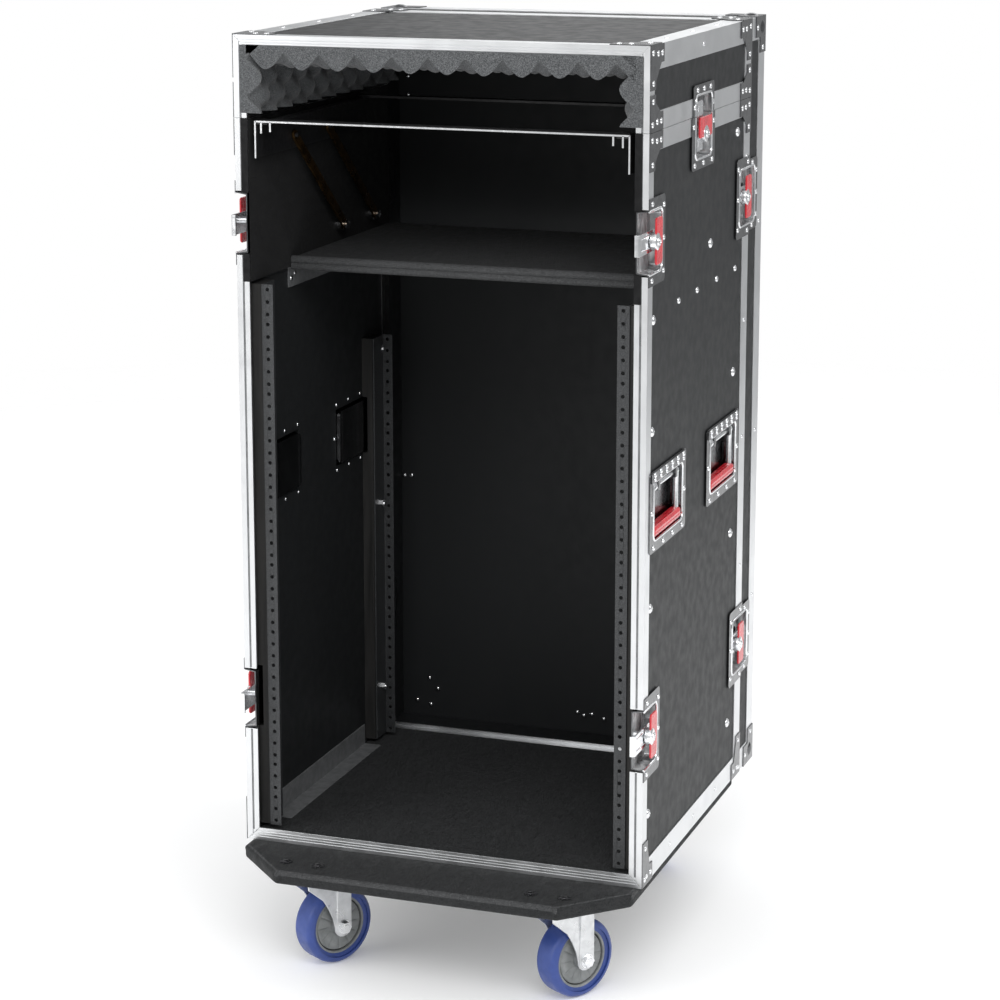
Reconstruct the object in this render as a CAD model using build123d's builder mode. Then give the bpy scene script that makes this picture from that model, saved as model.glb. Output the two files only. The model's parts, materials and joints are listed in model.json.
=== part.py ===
from build123d import *
from math import atan2, degrees, hypot
import os

# Equipment rack case on a dolly. Millimetres, +Z up, the open front faces -Y.
# The origin is on the floor, under the middle of the bounding box.

# Case shell
case_width = 533.5
case_height = 1040.0
body_depth = 470.0
cover_depth = 70.0
lid_height = 102.5
panel = 9.0
skin = 1.5
lip = 16.75
face_plate = 3.0
hook_flange = 14.0
front_flange = 20.0
edge_flange = 30.0
hybrid_flange = 23.0
gap = 0.5
seam = 0.1

# Dolly and casters
board_thickness = 18.0
board_overhang = 95.0
board_rear = 531.0
board_inset = 5.0
board_chamfer = 74.0
caster_height = 132.0
caster_plate = (79.0, 105.0)
plate_bolts = (44.0, 74.0)
wheel_radius = 50.8
wheel_width = 36.0
hub_radius = 33.0
axle_radius = 5.0
kingpin_radius = 6.0
running_fit = 0.05
trail = 30.0
caster_x = 164.0
caster_backs = (-24.0, 460.0)
front_heading = (0.52, 0.854)
rear_heading = (0.90, 0.436)

# Nineteen-inch rack standard
rack_unit = 44.45
rack_columns = 465.12
rack_steps = (6.35, 22.225, 38.1)
rack_hole = 2.4

# Layout: drops are measured down from the case's top, backs from its front face
rail_setback = 14.0
rail_depth = 36.0
rail_top = 311.05
rail_units = 16
rear_rail_face = 418.0
rear_rail_units = 13
front_bolt_drops = (329.0, 466.0, 687.0, 951.0)
rear_bolt_drops = (462.0, 683.0, 950.0)
rail_bolt_inset = 13.0
shelf_drop = 293.5
shelf_thickness = 13.0
shelf_front = 128.0
shelf_bolt_backs = (138.0, 222.0, 315.0, 407.0)
shelf_bolt_drop = 323.0
latch_drops = (233.0, 849.0)
handle_backs = (94.0, 352.0)
handle_drop = 566.5
foam_thickness = 33.0
foam_end = 96.0
ball_radius = 19.0
ball_proud = 4.0

# Recessed latches and handles
sheet = 1.2
dish_depth = 14.0
dish_rim = 13.0
dish_taper = 8
latch_driver = 67.0
latch_keeper = 39.0
latch_plates = (53.0, 48.0)
latch_mouth = 38.0
spindle_back = 24.0
spindle_radius = 5.0
wing_size = (26.0, 57.0)
wing_offset = 9.0
hook_width = 26.0
hook_travel = 7.0
handle_plate = (158.0, 102.0)
handle_mouth = (128.0, 74.0)
handle_fold = 9.0
bail_depth = 5.0
bail_radius = 4.0
bail_half = 54.0
bail_hinge = 28.0
bail_grip = -27.0
grip_side = 15.0
pocket_depth = 18.0

# Pop-up frame
popup_drop = 105.0
popup_front = 5.0
popup_units = 8
popup_outer = 242.0
popup_web = 44.0
arm_head = (120.0, 135.0)
arm_foot = (282.0, 272.0)
arm_spacing = 110.0
arm_width = 13.0
arm_thickness = 3.0
pin_radius = 3.0
open_pivot = 0.4

# Derived places
half_width = case_width / 2
overall_depth = board_overhang + body_depth + cover_depth + ball_proud
front = board_overhang - overall_depth / 2
back = front + body_depth
cover_back = back + cover_depth
bottom = caster_height + board_thickness
top = bottom + case_height
parting = top - lid_height
body_top = parting - gap / 2
lid_low = parting + gap / 2
panel_out = half_width - skin
panel_in = panel_out - panel
floor_top = bottom + skin + panel
shelf_under = top - shelf_drop - shelf_thickness
rail_low = top - rail_top - rail_units * rack_unit
rail_in = rack_columns / 2 - 7.5
rail_out = rack_columns / 2 + 8
liner_in = half_width - lip
arm_x = popup_outer - 4
sides = (-1, 1)
ends = ((front, 1), (back, -1))


def save(name, whole):
    """Label a finished piece and write its STEP file."""
    whole.part.label = name
    export_step(whole.part, f"parts/{name}.step")


def block(low, high, plane=Plane.XY, mode=Mode.ADD):
    """A box between two opposite corners given on a plane, in the part being built."""
    spans = [sorted(pair) for pair in zip(low, high)]
    with Locations(plane):
        with Locations(tuple(sum(span) / 2 for span in spans)):
            Box(*[high - low for low, high in spans], mode=mode)


def heads(plane, places, radius, height):
    """Domed rivet or bolt heads standing on a plane, in the part being built."""
    with BuildSketch(plane) as marks:
        with Locations(places):
            Circle(radius)
    extrude(marks.sketch, amount=height, taper=30)


def disc(plane, radius, height):
    """A disc standing on a plane, in the part being built."""
    with BuildSketch(plane) as outline:
        Circle(radius)
    extrude(outline.sketch, amount=height)


def group(parts):
    """One part that holds several finished solids."""
    with BuildPart() as whole:
        for part in parts:
            add(part)
    return whole


def side_plane(side, y, z, toward):
    """Plane on an outer side face, X along a given direction and Z outward."""
    return Plane(origin=(side * half_width, y, z), x_dir=toward, z_dir=(side, 0, 0))


# Latches by name, each on a plane at its parting line with X towards the mating half.
# Handles by name, each on a plane at its middle with Y upward.
latches = {}
handles = {}
for side, word in zip(sides, ("left", "right")):
    latches[f"{word}_lid"] = side_plane(side, front + body_depth / 2, parting, (0, 0, 1))
    for drop, level in zip(latch_drops, ("upper", "lower")):
        latches[f"{word}_rear_{level}"] = side_plane(side, back, top - drop, (0, 1, 0))
        latches[f"{word}_front_{level}"] = side_plane(side, front, top - drop, (0, -1, 0))
    for distance, place in zip(handle_backs, ("front", "rear")):
        handles[f"{word}_{place}"] = side_plane(side, front + distance, top - handle_drop, (0, side, 0))
lid_latches = [plane for name, plane in latches.items() if "lid" in name]
rear_latches = [plane for name, plane in latches.items() if "rear" in name]


def cut_pockets():
    """Cut the opening of every recessed dish out of the part being built."""
    reach = dish_rim - sheet - 1
    for plane in latches.values():
        wide = latch_mouth + sheet + 1
        low = (reach - latch_driver, -wide, -pocket_depth)
        block(low, (latch_keeper - reach, wide, 4), plane, Mode.SUBTRACT)
    for plane in handles.values():
        long, high = (size / 2 + sheet + 1 for size in handle_mouth)
        block((-long, -high, -pocket_depth), (long, high, 4), plane, Mode.SUBTRACT)


# ---------------------------------------------------------------- panels

def side_panels():
    """Two laminated plywood walls of the body."""
    with BuildPart() as walls:
        for side in sides:
            low = (side * panel_in, front + face_plate, floor_top)
            block(low, (side * panel_out, back - face_plate, body_top - face_plate))
        cut_pockets()
    save("side_panels", walls)


def bottom_panel():
    """Plywood floor of the body."""
    with BuildPart() as floor:
        low = (-panel_out, front + face_plate, bottom + skin)
        block(low, (panel_out, back - face_plate, floor_top))
    save("bottom_panel", floor)


def lid_panels():
    """Plywood top and two short walls of the lift-off lid."""
    under = top - skin - panel
    with BuildPart() as shell:
        block((-panel_out, front + face_plate, under), (panel_out, back - face_plate, top - skin))
        for side in sides:
            low = (side * panel_in, front + face_plate, lid_low + face_plate)
            block(low, (side * panel_out, back - face_plate, under - seam))
        cut_pockets()
    save("lid_panels", shell)


def rear_cover_panels():
    """Plywood back and rim of the rear cover."""
    inner = cover_back - skin - panel
    low = bottom + skin
    high = top - skin
    with BuildPart() as shell:
        block((-panel_out, inner, low), (panel_out, cover_back - skin, high))
        for start in (low, high - panel):
            block((-panel_out, back + gap, start), (panel_out, inner - seam, start + panel))
        for side in sides:
            start = (side * panel_in, back + gap, low + panel + seam)
            block(start, (side * panel_out, inner - seam, high - panel - seam))
        cut_pockets()
    save("rear_cover_panels", shell)


# ---------------------------------------------------------------- extrusions

def mating_profile(flange, grooves):
    """Section of a frame extrusion: across its mating face, then back along the panel."""
    edge = [(0, 0)]
    for start, end in grooves:
        edge += [(start, 0), (start, 1), (end, 1), (end, 0)]
    inner = skin + panel
    edge += [(lip, 0), (lip, face_plate), (inner + skin, face_plate), (inner + skin, hook_flange)]
    return edge + [(inner, hook_flange), (inner, face_plate), (skin, face_plate), (skin, flange), (0, flange)]


def angle_profile(flange):
    """Section of an edge angle."""
    return [(0, 0), (flange, 0), (flange, skin), (skin, skin), (skin, flange), (0, flange)]


def extrusion(points, start, end, across, deep, mitres=(False, False)):
    """One length of extrusion from start to end, with either end mitred towards across."""
    start, end, across, deep = (Vector(*value) for value in (start, end, across, deep))
    run = (end - start).normalized()
    plane = Plane(origin=start, x_dir=across, z_dir=across.cross(deep))
    with BuildPart() as length:
        with BuildSketch(plane):
            with BuildLine():
                Polyline(*points, close=True)
            make_face()
        extrude(amount=(end - start).dot(plane.z_dir))
        for corner, way, mitred in ((start, run, mitres[0]), (end, run * -1, mitres[1])):
            if mitred:
                normal = (way - across).normalized()
                split(bisect_by=Plane(origin=corner + normal * seam, z_dir=normal), keep=Keep.TOP)
    return length.part


def portal(y, way, flange, foot, head):
    """Two uprights and the mitred cross rail at their foot, round an open end."""
    upright = mating_profile(flange, [(7.5, 10)])
    cross = mating_profile(flange, [(5, 6), (8.5, 9.5), (12, 13)])
    deep = (0, way, 0)
    lengths = []
    for side in sides:
        x = side * half_width
        lengths.append(extrusion(upright, (x, y, foot), (x, y, head), (-side, 0, 0), deep, (True, False)))
    across = (0, 0, 1) if head > foot else (0, 0, -1)
    lengths.append(extrusion(cross, (-half_width, y, foot), (half_width, y, foot), across, deep, (True, True)))
    return lengths


def edge_rails(points, z, way):
    """A pair of extrusions along the side edges, between the front and rear portals."""
    start = front + front_flange + seam
    end = back - edge_flange - seam
    lengths = []
    for side in sides:
        x = side * half_width
        lengths.append(extrusion(points, (x, start, z), (x, end, z), (-side, 0, 0), (0, 0, way)))
    return lengths


def notched(lengths):
    """A frame of separate extrusions, notched for the recessed dishes."""
    with BuildPart() as frame:
        for length in lengths:
            add(length)
        cut_pockets()
    return frame


def body_frame():
    """Aluminium edging of the body."""
    angle = angle_profile(edge_flange)
    hybrid = mating_profile(hybrid_flange, [(7.5, 10)])
    lengths = portal(front, 1, front_flange, bottom, body_top) + portal(back, -1, edge_flange, bottom, body_top)
    lengths += edge_rails(angle, bottom, 1) + edge_rails(hybrid, body_top, -1)
    save("body_frame", notched(lengths))


def lid_frame():
    """Aluminium edging of the lid."""
    angle = angle_profile(edge_flange)
    hybrid = mating_profile(hybrid_flange, [(7.5, 10)])
    lengths = portal(front, 1, front_flange, top, lid_low) + portal(back, -1, edge_flange, top, lid_low)
    lengths += edge_rails(angle, top, -1) + edge_rails(hybrid, lid_low, 1)
    save("lid_frame", notched(lengths))


def rear_cover_frame():
    """Aluminium angles along the edges of the rear cover."""
    angle = angle_profile(edge_flange)
    inward = (0, -1, 0)
    lengths = []
    for side in sides:
        x = side * half_width
        post = (x, cover_back, bottom), (x, cover_back, top)
        lengths.append(extrusion(angle, *post, (-side, 0, 0), inward, (True, True)))
        for z, way in ((bottom, 1), (top, -1)):
            arm = (x, back + gap, z), (x, cover_back - edge_flange - seam, z)
            lengths.append(extrusion(angle, *arm, (-side, 0, 0), (0, 0, way)))
    for z, way in ((bottom, 1), (top, -1)):
        cross = (-half_width, cover_back, z), (half_width, cover_back, z)
        lengths.append(extrusion(angle, *cross, (0, 0, way), inward, (True, True)))
    save("rear_cover_frame", notched(lengths))


# ---------------------------------------------------------------- corner plates

def corner_plate(side, y, into, z, way, reach):
    """Riveted plate on a side face, from a corner into the face."""
    long, high = reach
    arm = 22
    outline = [(0, 0), (long, 0), (long, arm), (long - 12, arm), (arm, high - 10), (arm, high), (0, high)]
    spots = [(9, 9), (long - 9, 11), (long - 26, 11), (11, high - 8)]
    plane = side_plane(side, y, z, (0, side, 0))
    with BuildPart() as plate:
        with BuildSketch(plane):
            with BuildLine():
                Polyline(*[(side * into * a, way * b) for a, b in outline], close=True)
            make_face()
        extrude(amount=sheet)
        heads(plane.offset(sheet), [(side * into * a, way * b) for a, b in spots], 3, 1.2)
    return plate.part


def top_leaf(side, y, into):
    """The leaf of an upper lid corner that folds over the lid's top."""
    outline = [(-sheet, 0), (50, 0), (50, 20), (20, 46), (-sheet, 46)]
    spots = [(10, 34), (26, 10), (41, 10)]
    plane = Plane.XY.offset(top)
    with BuildPart() as leaf:
        with BuildSketch(plane):
            with BuildLine():
                Polyline(*[(side * (half_width - a), y + into * b) for a, b in outline], close=True)
            make_face()
        extrude(amount=sheet)
        heads(plane.offset(sheet), [(side * (half_width - a), y + into * b) for a, b in spots], 3, 1.2)
    return leaf.part


def ball_corner(side, z, way):
    """Ball corner of the rear cover: a bulge over the corner with three riveted leaves."""
    inset = ball_radius - ball_proud
    wide = 27
    long = 48
    outer = (side * (half_width + sheet), cover_back + sheet, z - way * sheet)
    leaves = ((wide, wide, long), (long, wide, wide), (wide, long, wide))
    with BuildPart() as corner:
        with Locations((side * (half_width - inset), cover_back - inset, z + way * inset)):
            Sphere(ball_radius, rotation=(0, 0, 90 + 90 * side))
        for a, b, c in leaves:
            block(outer, (side * (half_width - a), cover_back - b, z + way * c))
        block((-half_width, back - 1, bottom), (half_width, cover_back, top), mode=Mode.SUBTRACT)
        plane = side_plane(side, cover_back, z, (0, side, 0)).offset(sheet)
        heads(plane, [(-side * a, way * b) for a, b in ((14, 41), (41, 14))], 3, 1.2)
        plane = Plane(origin=(0, cover_back + sheet, z), x_dir=(-1, 0, 0), z_dir=(0, 1, 0))
        heads(plane, [(side * (a - half_width), way * b) for a, b in ((14, 41), (41, 14))], 3, 1.2)
    return corner.part


# ---------------------------------------------------------------- recessed dishes

def recess(plane, length, width):
    """Tapered pressed-steel recess, opening at the outside of its cover plate."""
    inward = Plane(origin=plane.offset(sheet).origin, x_dir=plane.x_dir, z_dir=plane.z_dir * -1)
    for wall, mode in ((sheet, Mode.ADD), (0, Mode.SUBTRACT)):
        with BuildSketch(inward) as mouth:
            RectangleRounded(length + 2 * wall, width + 2 * wall, 9 + wall)
        extrude(mouth.sketch, amount=sheet + dish_depth + wall, taper=dish_taper, mode=mode)


def latch_dish(plane, reach, plate_half):
    """One half of a latch dish, cut off just short of the parting line."""
    way = 1 if reach > 0 else -1
    with BuildPart() as dish:
        with BuildSketch(plane):
            RectangleRounded(2 * abs(reach), 2 * plate_half, 6)
        extrude(amount=sheet)
        recess(plane, 2 * (abs(reach) - dish_rim), 2 * latch_mouth)
        block((way * 0.3, -80, -30), (-way * 80, 80, 10), plane, Mode.SUBTRACT)
    return dish.part


def keeper_dish(plane):
    """Keeper half of a latch dish, with the low ledge that the hook reaches over."""
    with BuildPart() as dish:
        add(latch_dish(plane, latch_keeper, latch_plates[1]))
        block((8, -14, -dish_depth), (10, 14, -10.6), plane)
    return dish.part


def handle_dish(plane):
    """Dish of a spring handle in folded sheets, with the two lugs that its bail turns in."""
    hinge = Plane(origin=plane.offset(-bail_depth).origin + plane.y_dir * bail_hinge, z_dir=plane.x_dir)
    fold = handle_mouth[0] / 2 - handle_fold
    beyond = handle_plate[0]
    with BuildPart() as dish:
        with BuildSketch(plane):
            RectangleRounded(*handle_plate, 6)
        extrude(amount=sheet)
        recess(plane, *handle_mouth)
        for side in sides:
            low = (side * fold, -beyond, -beyond)
            block(low, (side * (fold + seam), beyond, beyond), plane, Mode.SUBTRACT)
        low = (-beyond, -beyond, -dish_depth - seam)
        block(low, (beyond, beyond, -dish_depth), plane, Mode.SUBTRACT)
        for side in sides:
            low = (side * 34, bail_hinge - 6, -dish_depth)
            block(low, (side * 42, bail_hinge + 8, 1 - bail_depth + bail_radius + 1), plane)
        with BuildSketch(hinge):
            Circle(bail_radius + running_fit)
        extrude(amount=50, both=True, mode=Mode.SUBTRACT)
    return dish.part


def hardware():
    """Corner plates, dishes and ball corners, by the body that they are riveted to."""
    corners = []
    lid = []
    for side in sides:
        for y, into in ends:
            corners.append(corner_plate(side, y, into, bottom, 1, (43, 57)))
            corners.append(corner_plate(side, y, into, body_top, -1, (54, 46)))
            lid.append(corner_plate(side, y, into, top, -1, (56, 53)))
            lid.append(corner_plate(side, y, into, lid_low, 1, (54, 44)))
            lid.append(top_leaf(side, y, into))
    lid += [keeper_dish(plane) for plane in lid_latches]
    dishes = [latch_dish(plane, -latch_driver, latch_plates[0]) for plane in latches.values()]
    cover = [ball_corner(side, z, way) for side in sides for z, way in ((bottom, 1), (top, -1))]
    cover += [keeper_dish(plane) for plane in rear_latches]
    save("body_corner_plates", group(corners))
    save("latch_dishes", group(dishes))
    save("handle_dishes", group([handle_dish(plane) for plane in handles.values()]))
    save("lid_hardware", group(lid))
    save("rear_cover_hardware", group(cover))


# ---------------------------------------------------------------- rack rails and interior

def rack_rail(side, face, way, units):
    """Steel rack rail: a punched flange at its face and a web running away from it."""
    high = rail_low + units * rack_unit
    rows = [rail_low + unit * rack_unit + step for unit in range(units) for step in rack_steps]
    with BuildPart() as rail:
        block((side * rail_in, face, rail_low), (side * rail_out, face + way * 2, high))
        block((side * (rail_out - 2), face, rail_low), (side * rail_out, face + way * rail_depth, high))
        with BuildSketch(Plane.XZ.offset(-face)):
            with Locations([(side * rack_columns / 2, row) for row in rows]):
                Circle(rack_hole)
        extrude(amount=3, both=True, mode=Mode.SUBTRACT)
    return rail.part


def rails():
    """Front and rear rack rails, with the battens that space them off the walls."""
    faces = ((front + rail_setback, 1, rail_units), (front + rear_rail_face, -1, rear_rail_units))
    with BuildPart() as battens:
        for side in sides:
            for face, way, units in faces:
                low = (side * rail_out, face + way * 2, rail_low)
                high = (side * (panel_in - seam), face + way * (rail_depth + 2), rail_low + units * rack_unit)
                block(low, high)
        cut_pockets()
    save("rack_rails", group([rack_rail(side, *face) for side in sides for face in faces]))
    save("rail_battens", battens)


def support_angles():
    """Steel angles under the shelf and along the floor."""
    legs = (
        (shelf_under, -28, shelf_front + 3, body_depth - 26),
        (floor_top, 30, rail_setback + rail_depth + 8, rear_rail_face - rail_depth - 8),
    )
    with BuildPart() as angles:
        for side in sides:
            wall = side * (panel_in - seam)
            for level, leg, start, end in legs:
                turn = 2 if leg > 0 else -2
                block((wall, front + start, level), (wall - side * 2, front + end, level + leg))
                block((wall, front + start, level), (wall - side * 26, front + end, level + turn))
    save("support_angles", angles)


def equipment_shelf():
    """Plywood shelf under the top compartment, its front edge rounded."""
    wide = liner_in - gap
    with BuildPart() as shelf:
        low = (-wide, front + shelf_front, shelf_under)
        block(low, (wide, back - 8, shelf_under + shelf_thickness))
        fillet(shelf.edges().filter_by(Axis.X).group_by(Axis.Y)[0], 5)
    save("equipment_shelf", shelf)


def compartment_liners():
    """Lining boards of the top compartment, rebated to clear the frame's inner flanges."""
    rebate = hook_flange + 1
    step = panel_in - skin - 0.2
    with BuildPart() as liners:
        for side in sides:
            low = (side * liner_in, front + face_plate + 0.2, shelf_under)
            block(low, (side * step, back - face_plate - 0.2, body_top - face_plate - 0.2))
            low = (side * step, front + rebate, shelf_under)
            block(low, (side * (panel_in - seam), back - rebate, body_top - rebate))
        cut_pockets()
    save("compartment_liners", liners)


def lid_foam():
    """Foam under the lid's top and against its walls."""
    ceiling = top - skin - panel - skin - 0.3
    under = ceiling - foam_thickness
    wall = panel_in - 2
    with BuildPart() as foam:
        block((-wall, front + 4, under), (wall, back - 4, ceiling))
        for side in sides:
            low = (side * wall, front + 4, top - foam_end)
            block(low, (side * (wall - foam_thickness), back - 4, under - seam))
        cut_pockets()
    save("lid_foam", foam)


def case_bolts():
    """Bolts through the walls and floor, and the pins that the pop-up arms turn on."""
    front_rail = [(rail_setback + rail_bolt_inset, drop) for drop in front_bolt_drops]
    rear_rail = [(rear_rail_face - rail_bolt_inset, drop) for drop in rear_bolt_drops]
    shelf = [(distance, shelf_bolt_drop) for distance in shelf_bolt_backs]
    feet = [arm_foot, (arm_foot[0] + arm_spacing, arm_foot[1])]
    floor = [(x, y) for x, y in ((160, 90), (76, 40), (76, 430), (160, 380))]
    board = [(caster_x + way * plate_bolts[0] / 2, caster_backs[0] - plate_bolts[1] / 2) for way in sides]
    with BuildPart() as bolts:
        for side in sides:
            outside = side_plane(side, front, top, (0, side, 0)).offset(-skin)
            inside = Plane(origin=(side * (rail_out - 2), front, top), x_dir=(0, 1, 0), z_dir=(-side, 0, 0))
            flip = -side
            spots = front_rail + rear_rail + shelf + feet + [(rear_rail_face - 9, 143)]
            heads(outside, [(side * distance, -drop) for distance, drop in spots], 6.5, 3)
            for radius, height in ((7, 5), (4, 9)):
                with BuildSketch(inside):
                    with Locations([(distance, flip * -drop) for distance, drop in front_rail + rear_rail]):
                        Circle(radius)
                extrude(amount=height)
            for distance, drop in feet:
                foot = Plane(
                    origin=(side * liner_in, front + distance, top - drop), x_dir=(0, 1, 0), z_dir=(-side, 0, 0)
                )
                reach = liner_in - arm_x
                disc(foot, pin_radius, reach + 5)
                disc(foot, 8, reach - arm_thickness / 2 - 0.8)
                disc(foot.offset(reach + arm_thickness / 2 + 0.8), 6, 4)
            heads(Plane.XY.offset(floor_top), [(side * x, front + y) for x, y in floor], 7, 3)
            heads(Plane.XY.offset(bottom), [(side * x, front + y) for x, y in board], 6, 3)
    save("case_bolts", bolts)


# ---------------------------------------------------------------- moving hardware

def latch_moving(name, plane):
    """Wing of a butterfly latch on its spindle, and the hook strap that it drives.

    The front latches stand open, wing turned away and hook out, the others stand locked.
    """
    way = -1 if "front" in name else 1
    shift = hook_travel if "front" in name else 0
    long, wide = wing_size
    with BuildPart() as wing:
        with BuildSketch(plane.offset(2)):
            with Locations((way * wing_offset - spindle_back, 0)):
                RectangleRounded(long, wide, 5)
            with Locations((way * (wing_offset - long / 2 - 2) - spindle_back, 0)):
                Circle(7, mode=Mode.SUBTRACT)
        extrude(amount=3)
        centre = plane.origin - plane.x_dir * spindle_back
        disc(Plane(origin=centre - plane.z_dir * 2, z_dir=plane.z_dir), 10, 4)
        shaft = dish_depth - 0.3
        disc(Plane(origin=centre - plane.z_dir * shaft, z_dir=plane.z_dir), spindle_radius, shaft)
    half = hook_width / 2
    with BuildPart() as hook:
        block((shift - 46, -half, -6), (shift + 14, half, -3.5), plane)
        block((shift + 14, -half, -10), (shift + 16.5, half, -3.5), plane)
        slot = spindle_radius + gap
        low = (shift - spindle_back - slot - hook_travel, -slot, -7)
        block(low, (shift - spindle_back + slot, slot, -3), plane, Mode.SUBTRACT)
    save(f"latch_wing_{name}", wing)
    save(f"latch_hook_{name}", hook)


def handle_bail(name, plane):
    """Bail of a spring handle with its moulded grip."""
    level = plane.offset(-bail_depth)
    corners = [(-bail_half, bail_hinge), (bail_half, bail_hinge), (bail_half, bail_grip), (-bail_half, bail_grip)]
    with BuildPart() as bail:
        with BuildLine(level) as ring:
            FilletPolyline(*corners, radius=7, close=True)
        with BuildSketch(Plane(origin=ring.line @ 0, z_dir=ring.line % 0)):
            Circle(bail_radius)
        sweep(path=ring.line)
        start = level.from_local_coords(Vector(-bail_half - 4, bail_grip, 0))
        with BuildSketch(Plane(origin=start, x_dir=plane.y_dir, z_dir=plane.x_dir)):
            RectangleRounded(grip_side, grip_side, 5)
        extrude(amount=2 * bail_half + 8)
    save(f"handle_{name}", bail)


# ---------------------------------------------------------------- pop-up frame

def popup_frame():
    """Equipment frame of the top compartment: two rack rails lying flat, with cross bars."""
    level = top - popup_drop
    rail = level - 3
    start = front + popup_front
    end = start + popup_units * rack_unit
    rows = [start + unit * rack_unit + step for unit in range(popup_units) for step in rack_steps]
    with BuildPart() as frame:
        for side in sides:
            block((side * rail_in, start, rail - 2), (side * popup_outer, end, rail))
            block((side * (popup_outer - 2), start, rail - popup_web), (side * popup_outer, end, rail))
            with BuildSketch(Plane.XY.offset(level)):
                with Locations([(side * rack_columns / 2, row) for row in rows]):
                    Circle(rack_hole)
            extrude(amount=-8, mode=Mode.SUBTRACT)
            for shift in (0, arm_spacing):
                head = (side * popup_outer, front + arm_head[0] + shift, top - arm_head[1])
                disc(Plane(origin=head, z_dir=(-side, 0, 0)), pin_radius, 9)
        for y in (start, end - 20):
            block((1 - popup_outer, y, rail), (popup_outer - 1, y + 20, level))
    save("popup_frame", frame)


def popup_arms(name, shift, slack):
    """A pair of flat arms that carry the pop-up frame, pinned at foot and head."""
    foot = (front + arm_foot[0] + shift, top - arm_foot[1])
    head = (front + arm_head[0] + shift, top - arm_head[1])
    rise = (foot[0] - head[0], foot[1] - head[1])
    with BuildPart() as arms:
        for side in sides:
            with BuildSketch(Plane(origin=(side * arm_x, 0, 0), x_dir=(0, 1, 0), z_dir=(1, 0, 0))):
                with Locations(((foot[0] + head[0]) / 2, (foot[1] + head[1]) / 2)):
                    SlotCenterToCenter(hypot(*rise), arm_width, rotation=degrees(atan2(rise[1], rise[0])))
                with Locations(foot):
                    Circle(pin_radius + running_fit, mode=Mode.SUBTRACT)
                with Locations(head):
                    Circle(pin_radius + slack, mode=Mode.SUBTRACT)
            extrude(amount=arm_thickness / 2, both=True)
    save(name, arms)


# ---------------------------------------------------------------- dolly and casters

def dolly_board():
    """Plywood board under the case, its corners cut off and its top edge rounded."""
    half = half_width - board_inset
    span = (front - board_overhang, front + board_rear)
    with BuildPart() as board:
        with BuildSketch(Plane.XY.offset(caster_height)) as outline:
            with Locations((0, sum(span) / 2)):
                Rectangle(2 * half, span[1] - span[0])
            chamfer(outline.vertices(), board_chamfer)
        extrude(amount=board_thickness - 0.2)
        fillet(board.faces().sort_by(Axis.Z)[-1].edges(), 4)
    save("dolly_board", board)


def caster_plates():
    """Caster top plates with the kingpins that the forks swivel on."""
    with BuildPart() as plates:
        for distance in caster_backs:
            for x in (-caster_x, caster_x):
                under = Plane(origin=(x, front + distance, caster_height - 3.2))
                with BuildSketch(under):
                    RectangleRounded(*caster_plate, 5)
                    with GridLocations(*plate_bolts, 2, 2):
                        Circle(4.2, mode=Mode.SUBTRACT)
                extrude(amount=3)
                disc(under.offset(-18), kingpin_radius, 19)
                disc(under.offset(-18), 9, 5)
    save("caster_plates", plates)


def caster(name, x, y, heading):
    """Swivel caster: a fork with its axle, a hub and a tyre, at its resting heading."""
    upright = Plane(origin=(x, y, 0), x_dir=(*heading, 0), z_dir=(0, 0, 1))
    aside = Plane(origin=(x, y, 0), x_dir=(*heading, 0), z_dir=upright.y_dir * -1)
    hub_plane = Plane(origin=upright.from_local_coords(Vector(trail, 0, wheel_radius)), z_dir=upright.y_dir)
    half = wheel_width / 2
    reach = half + 2
    crown = caster_height - 15
    with BuildPart() as fork:
        with BuildSketch(upright.offset(crown)):
            with Locations((6, 0)):
                RectangleRounded(58, 2 * reach + 6, 6)
        extrude(amount=4)
        disc(upright.offset(crown + 3), 26, 8)
        for side in sides:
            with BuildSketch(aside.offset(side * (reach + 1.5))):
                with BuildLine():
                    left = (trail - 12, wheel_radius)
                    right = (trail + 12, wheel_radius)
                    lower = RadiusArc(left, right, 12)
                    Polyline(right, (34, crown + 3), (-20, crown + 3), (-14, crown - 14), left)
                make_face()
            extrude(amount=1.5, both=True)
        with BuildSketch(upright):
            Circle(kingpin_radius + running_fit)
        extrude(amount=caster_height, mode=Mode.SUBTRACT)
        with BuildSketch(hub_plane):
            Circle(axle_radius)
        extrude(amount=reach + 10, both=True)
        for side in sides:
            with BuildSketch(hub_plane.offset(side * (reach + 3))):
                RegularPolygon(8, 6)
            extrude(amount=side * 5)
    with BuildPart() as hub:
        for radius, depth in ((hub_radius, half - 5), (14, half + 1)):
            with BuildSketch(hub_plane):
                Circle(radius)
            extrude(amount=depth, both=True)
        with BuildSketch(hub_plane):
            Circle(axle_radius + running_fit)
        extrude(amount=half + 2, both=True, mode=Mode.SUBTRACT)
    with BuildPart() as tyre:
        with BuildSketch(hub_plane):
            Circle(wheel_radius)
            Circle(hub_radius, mode=Mode.SUBTRACT)
        extrude(amount=half, both=True)
        fillet(tyre.edges().filter_by(GeomType.CIRCLE).sort_by(SortBy.RADIUS)[-2:], 7)
    save(f"caster_fork_{name}", fork)
    save(f"caster_hub_{name}", hub)
    save(f"caster_tyre_{name}", tyre)


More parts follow.
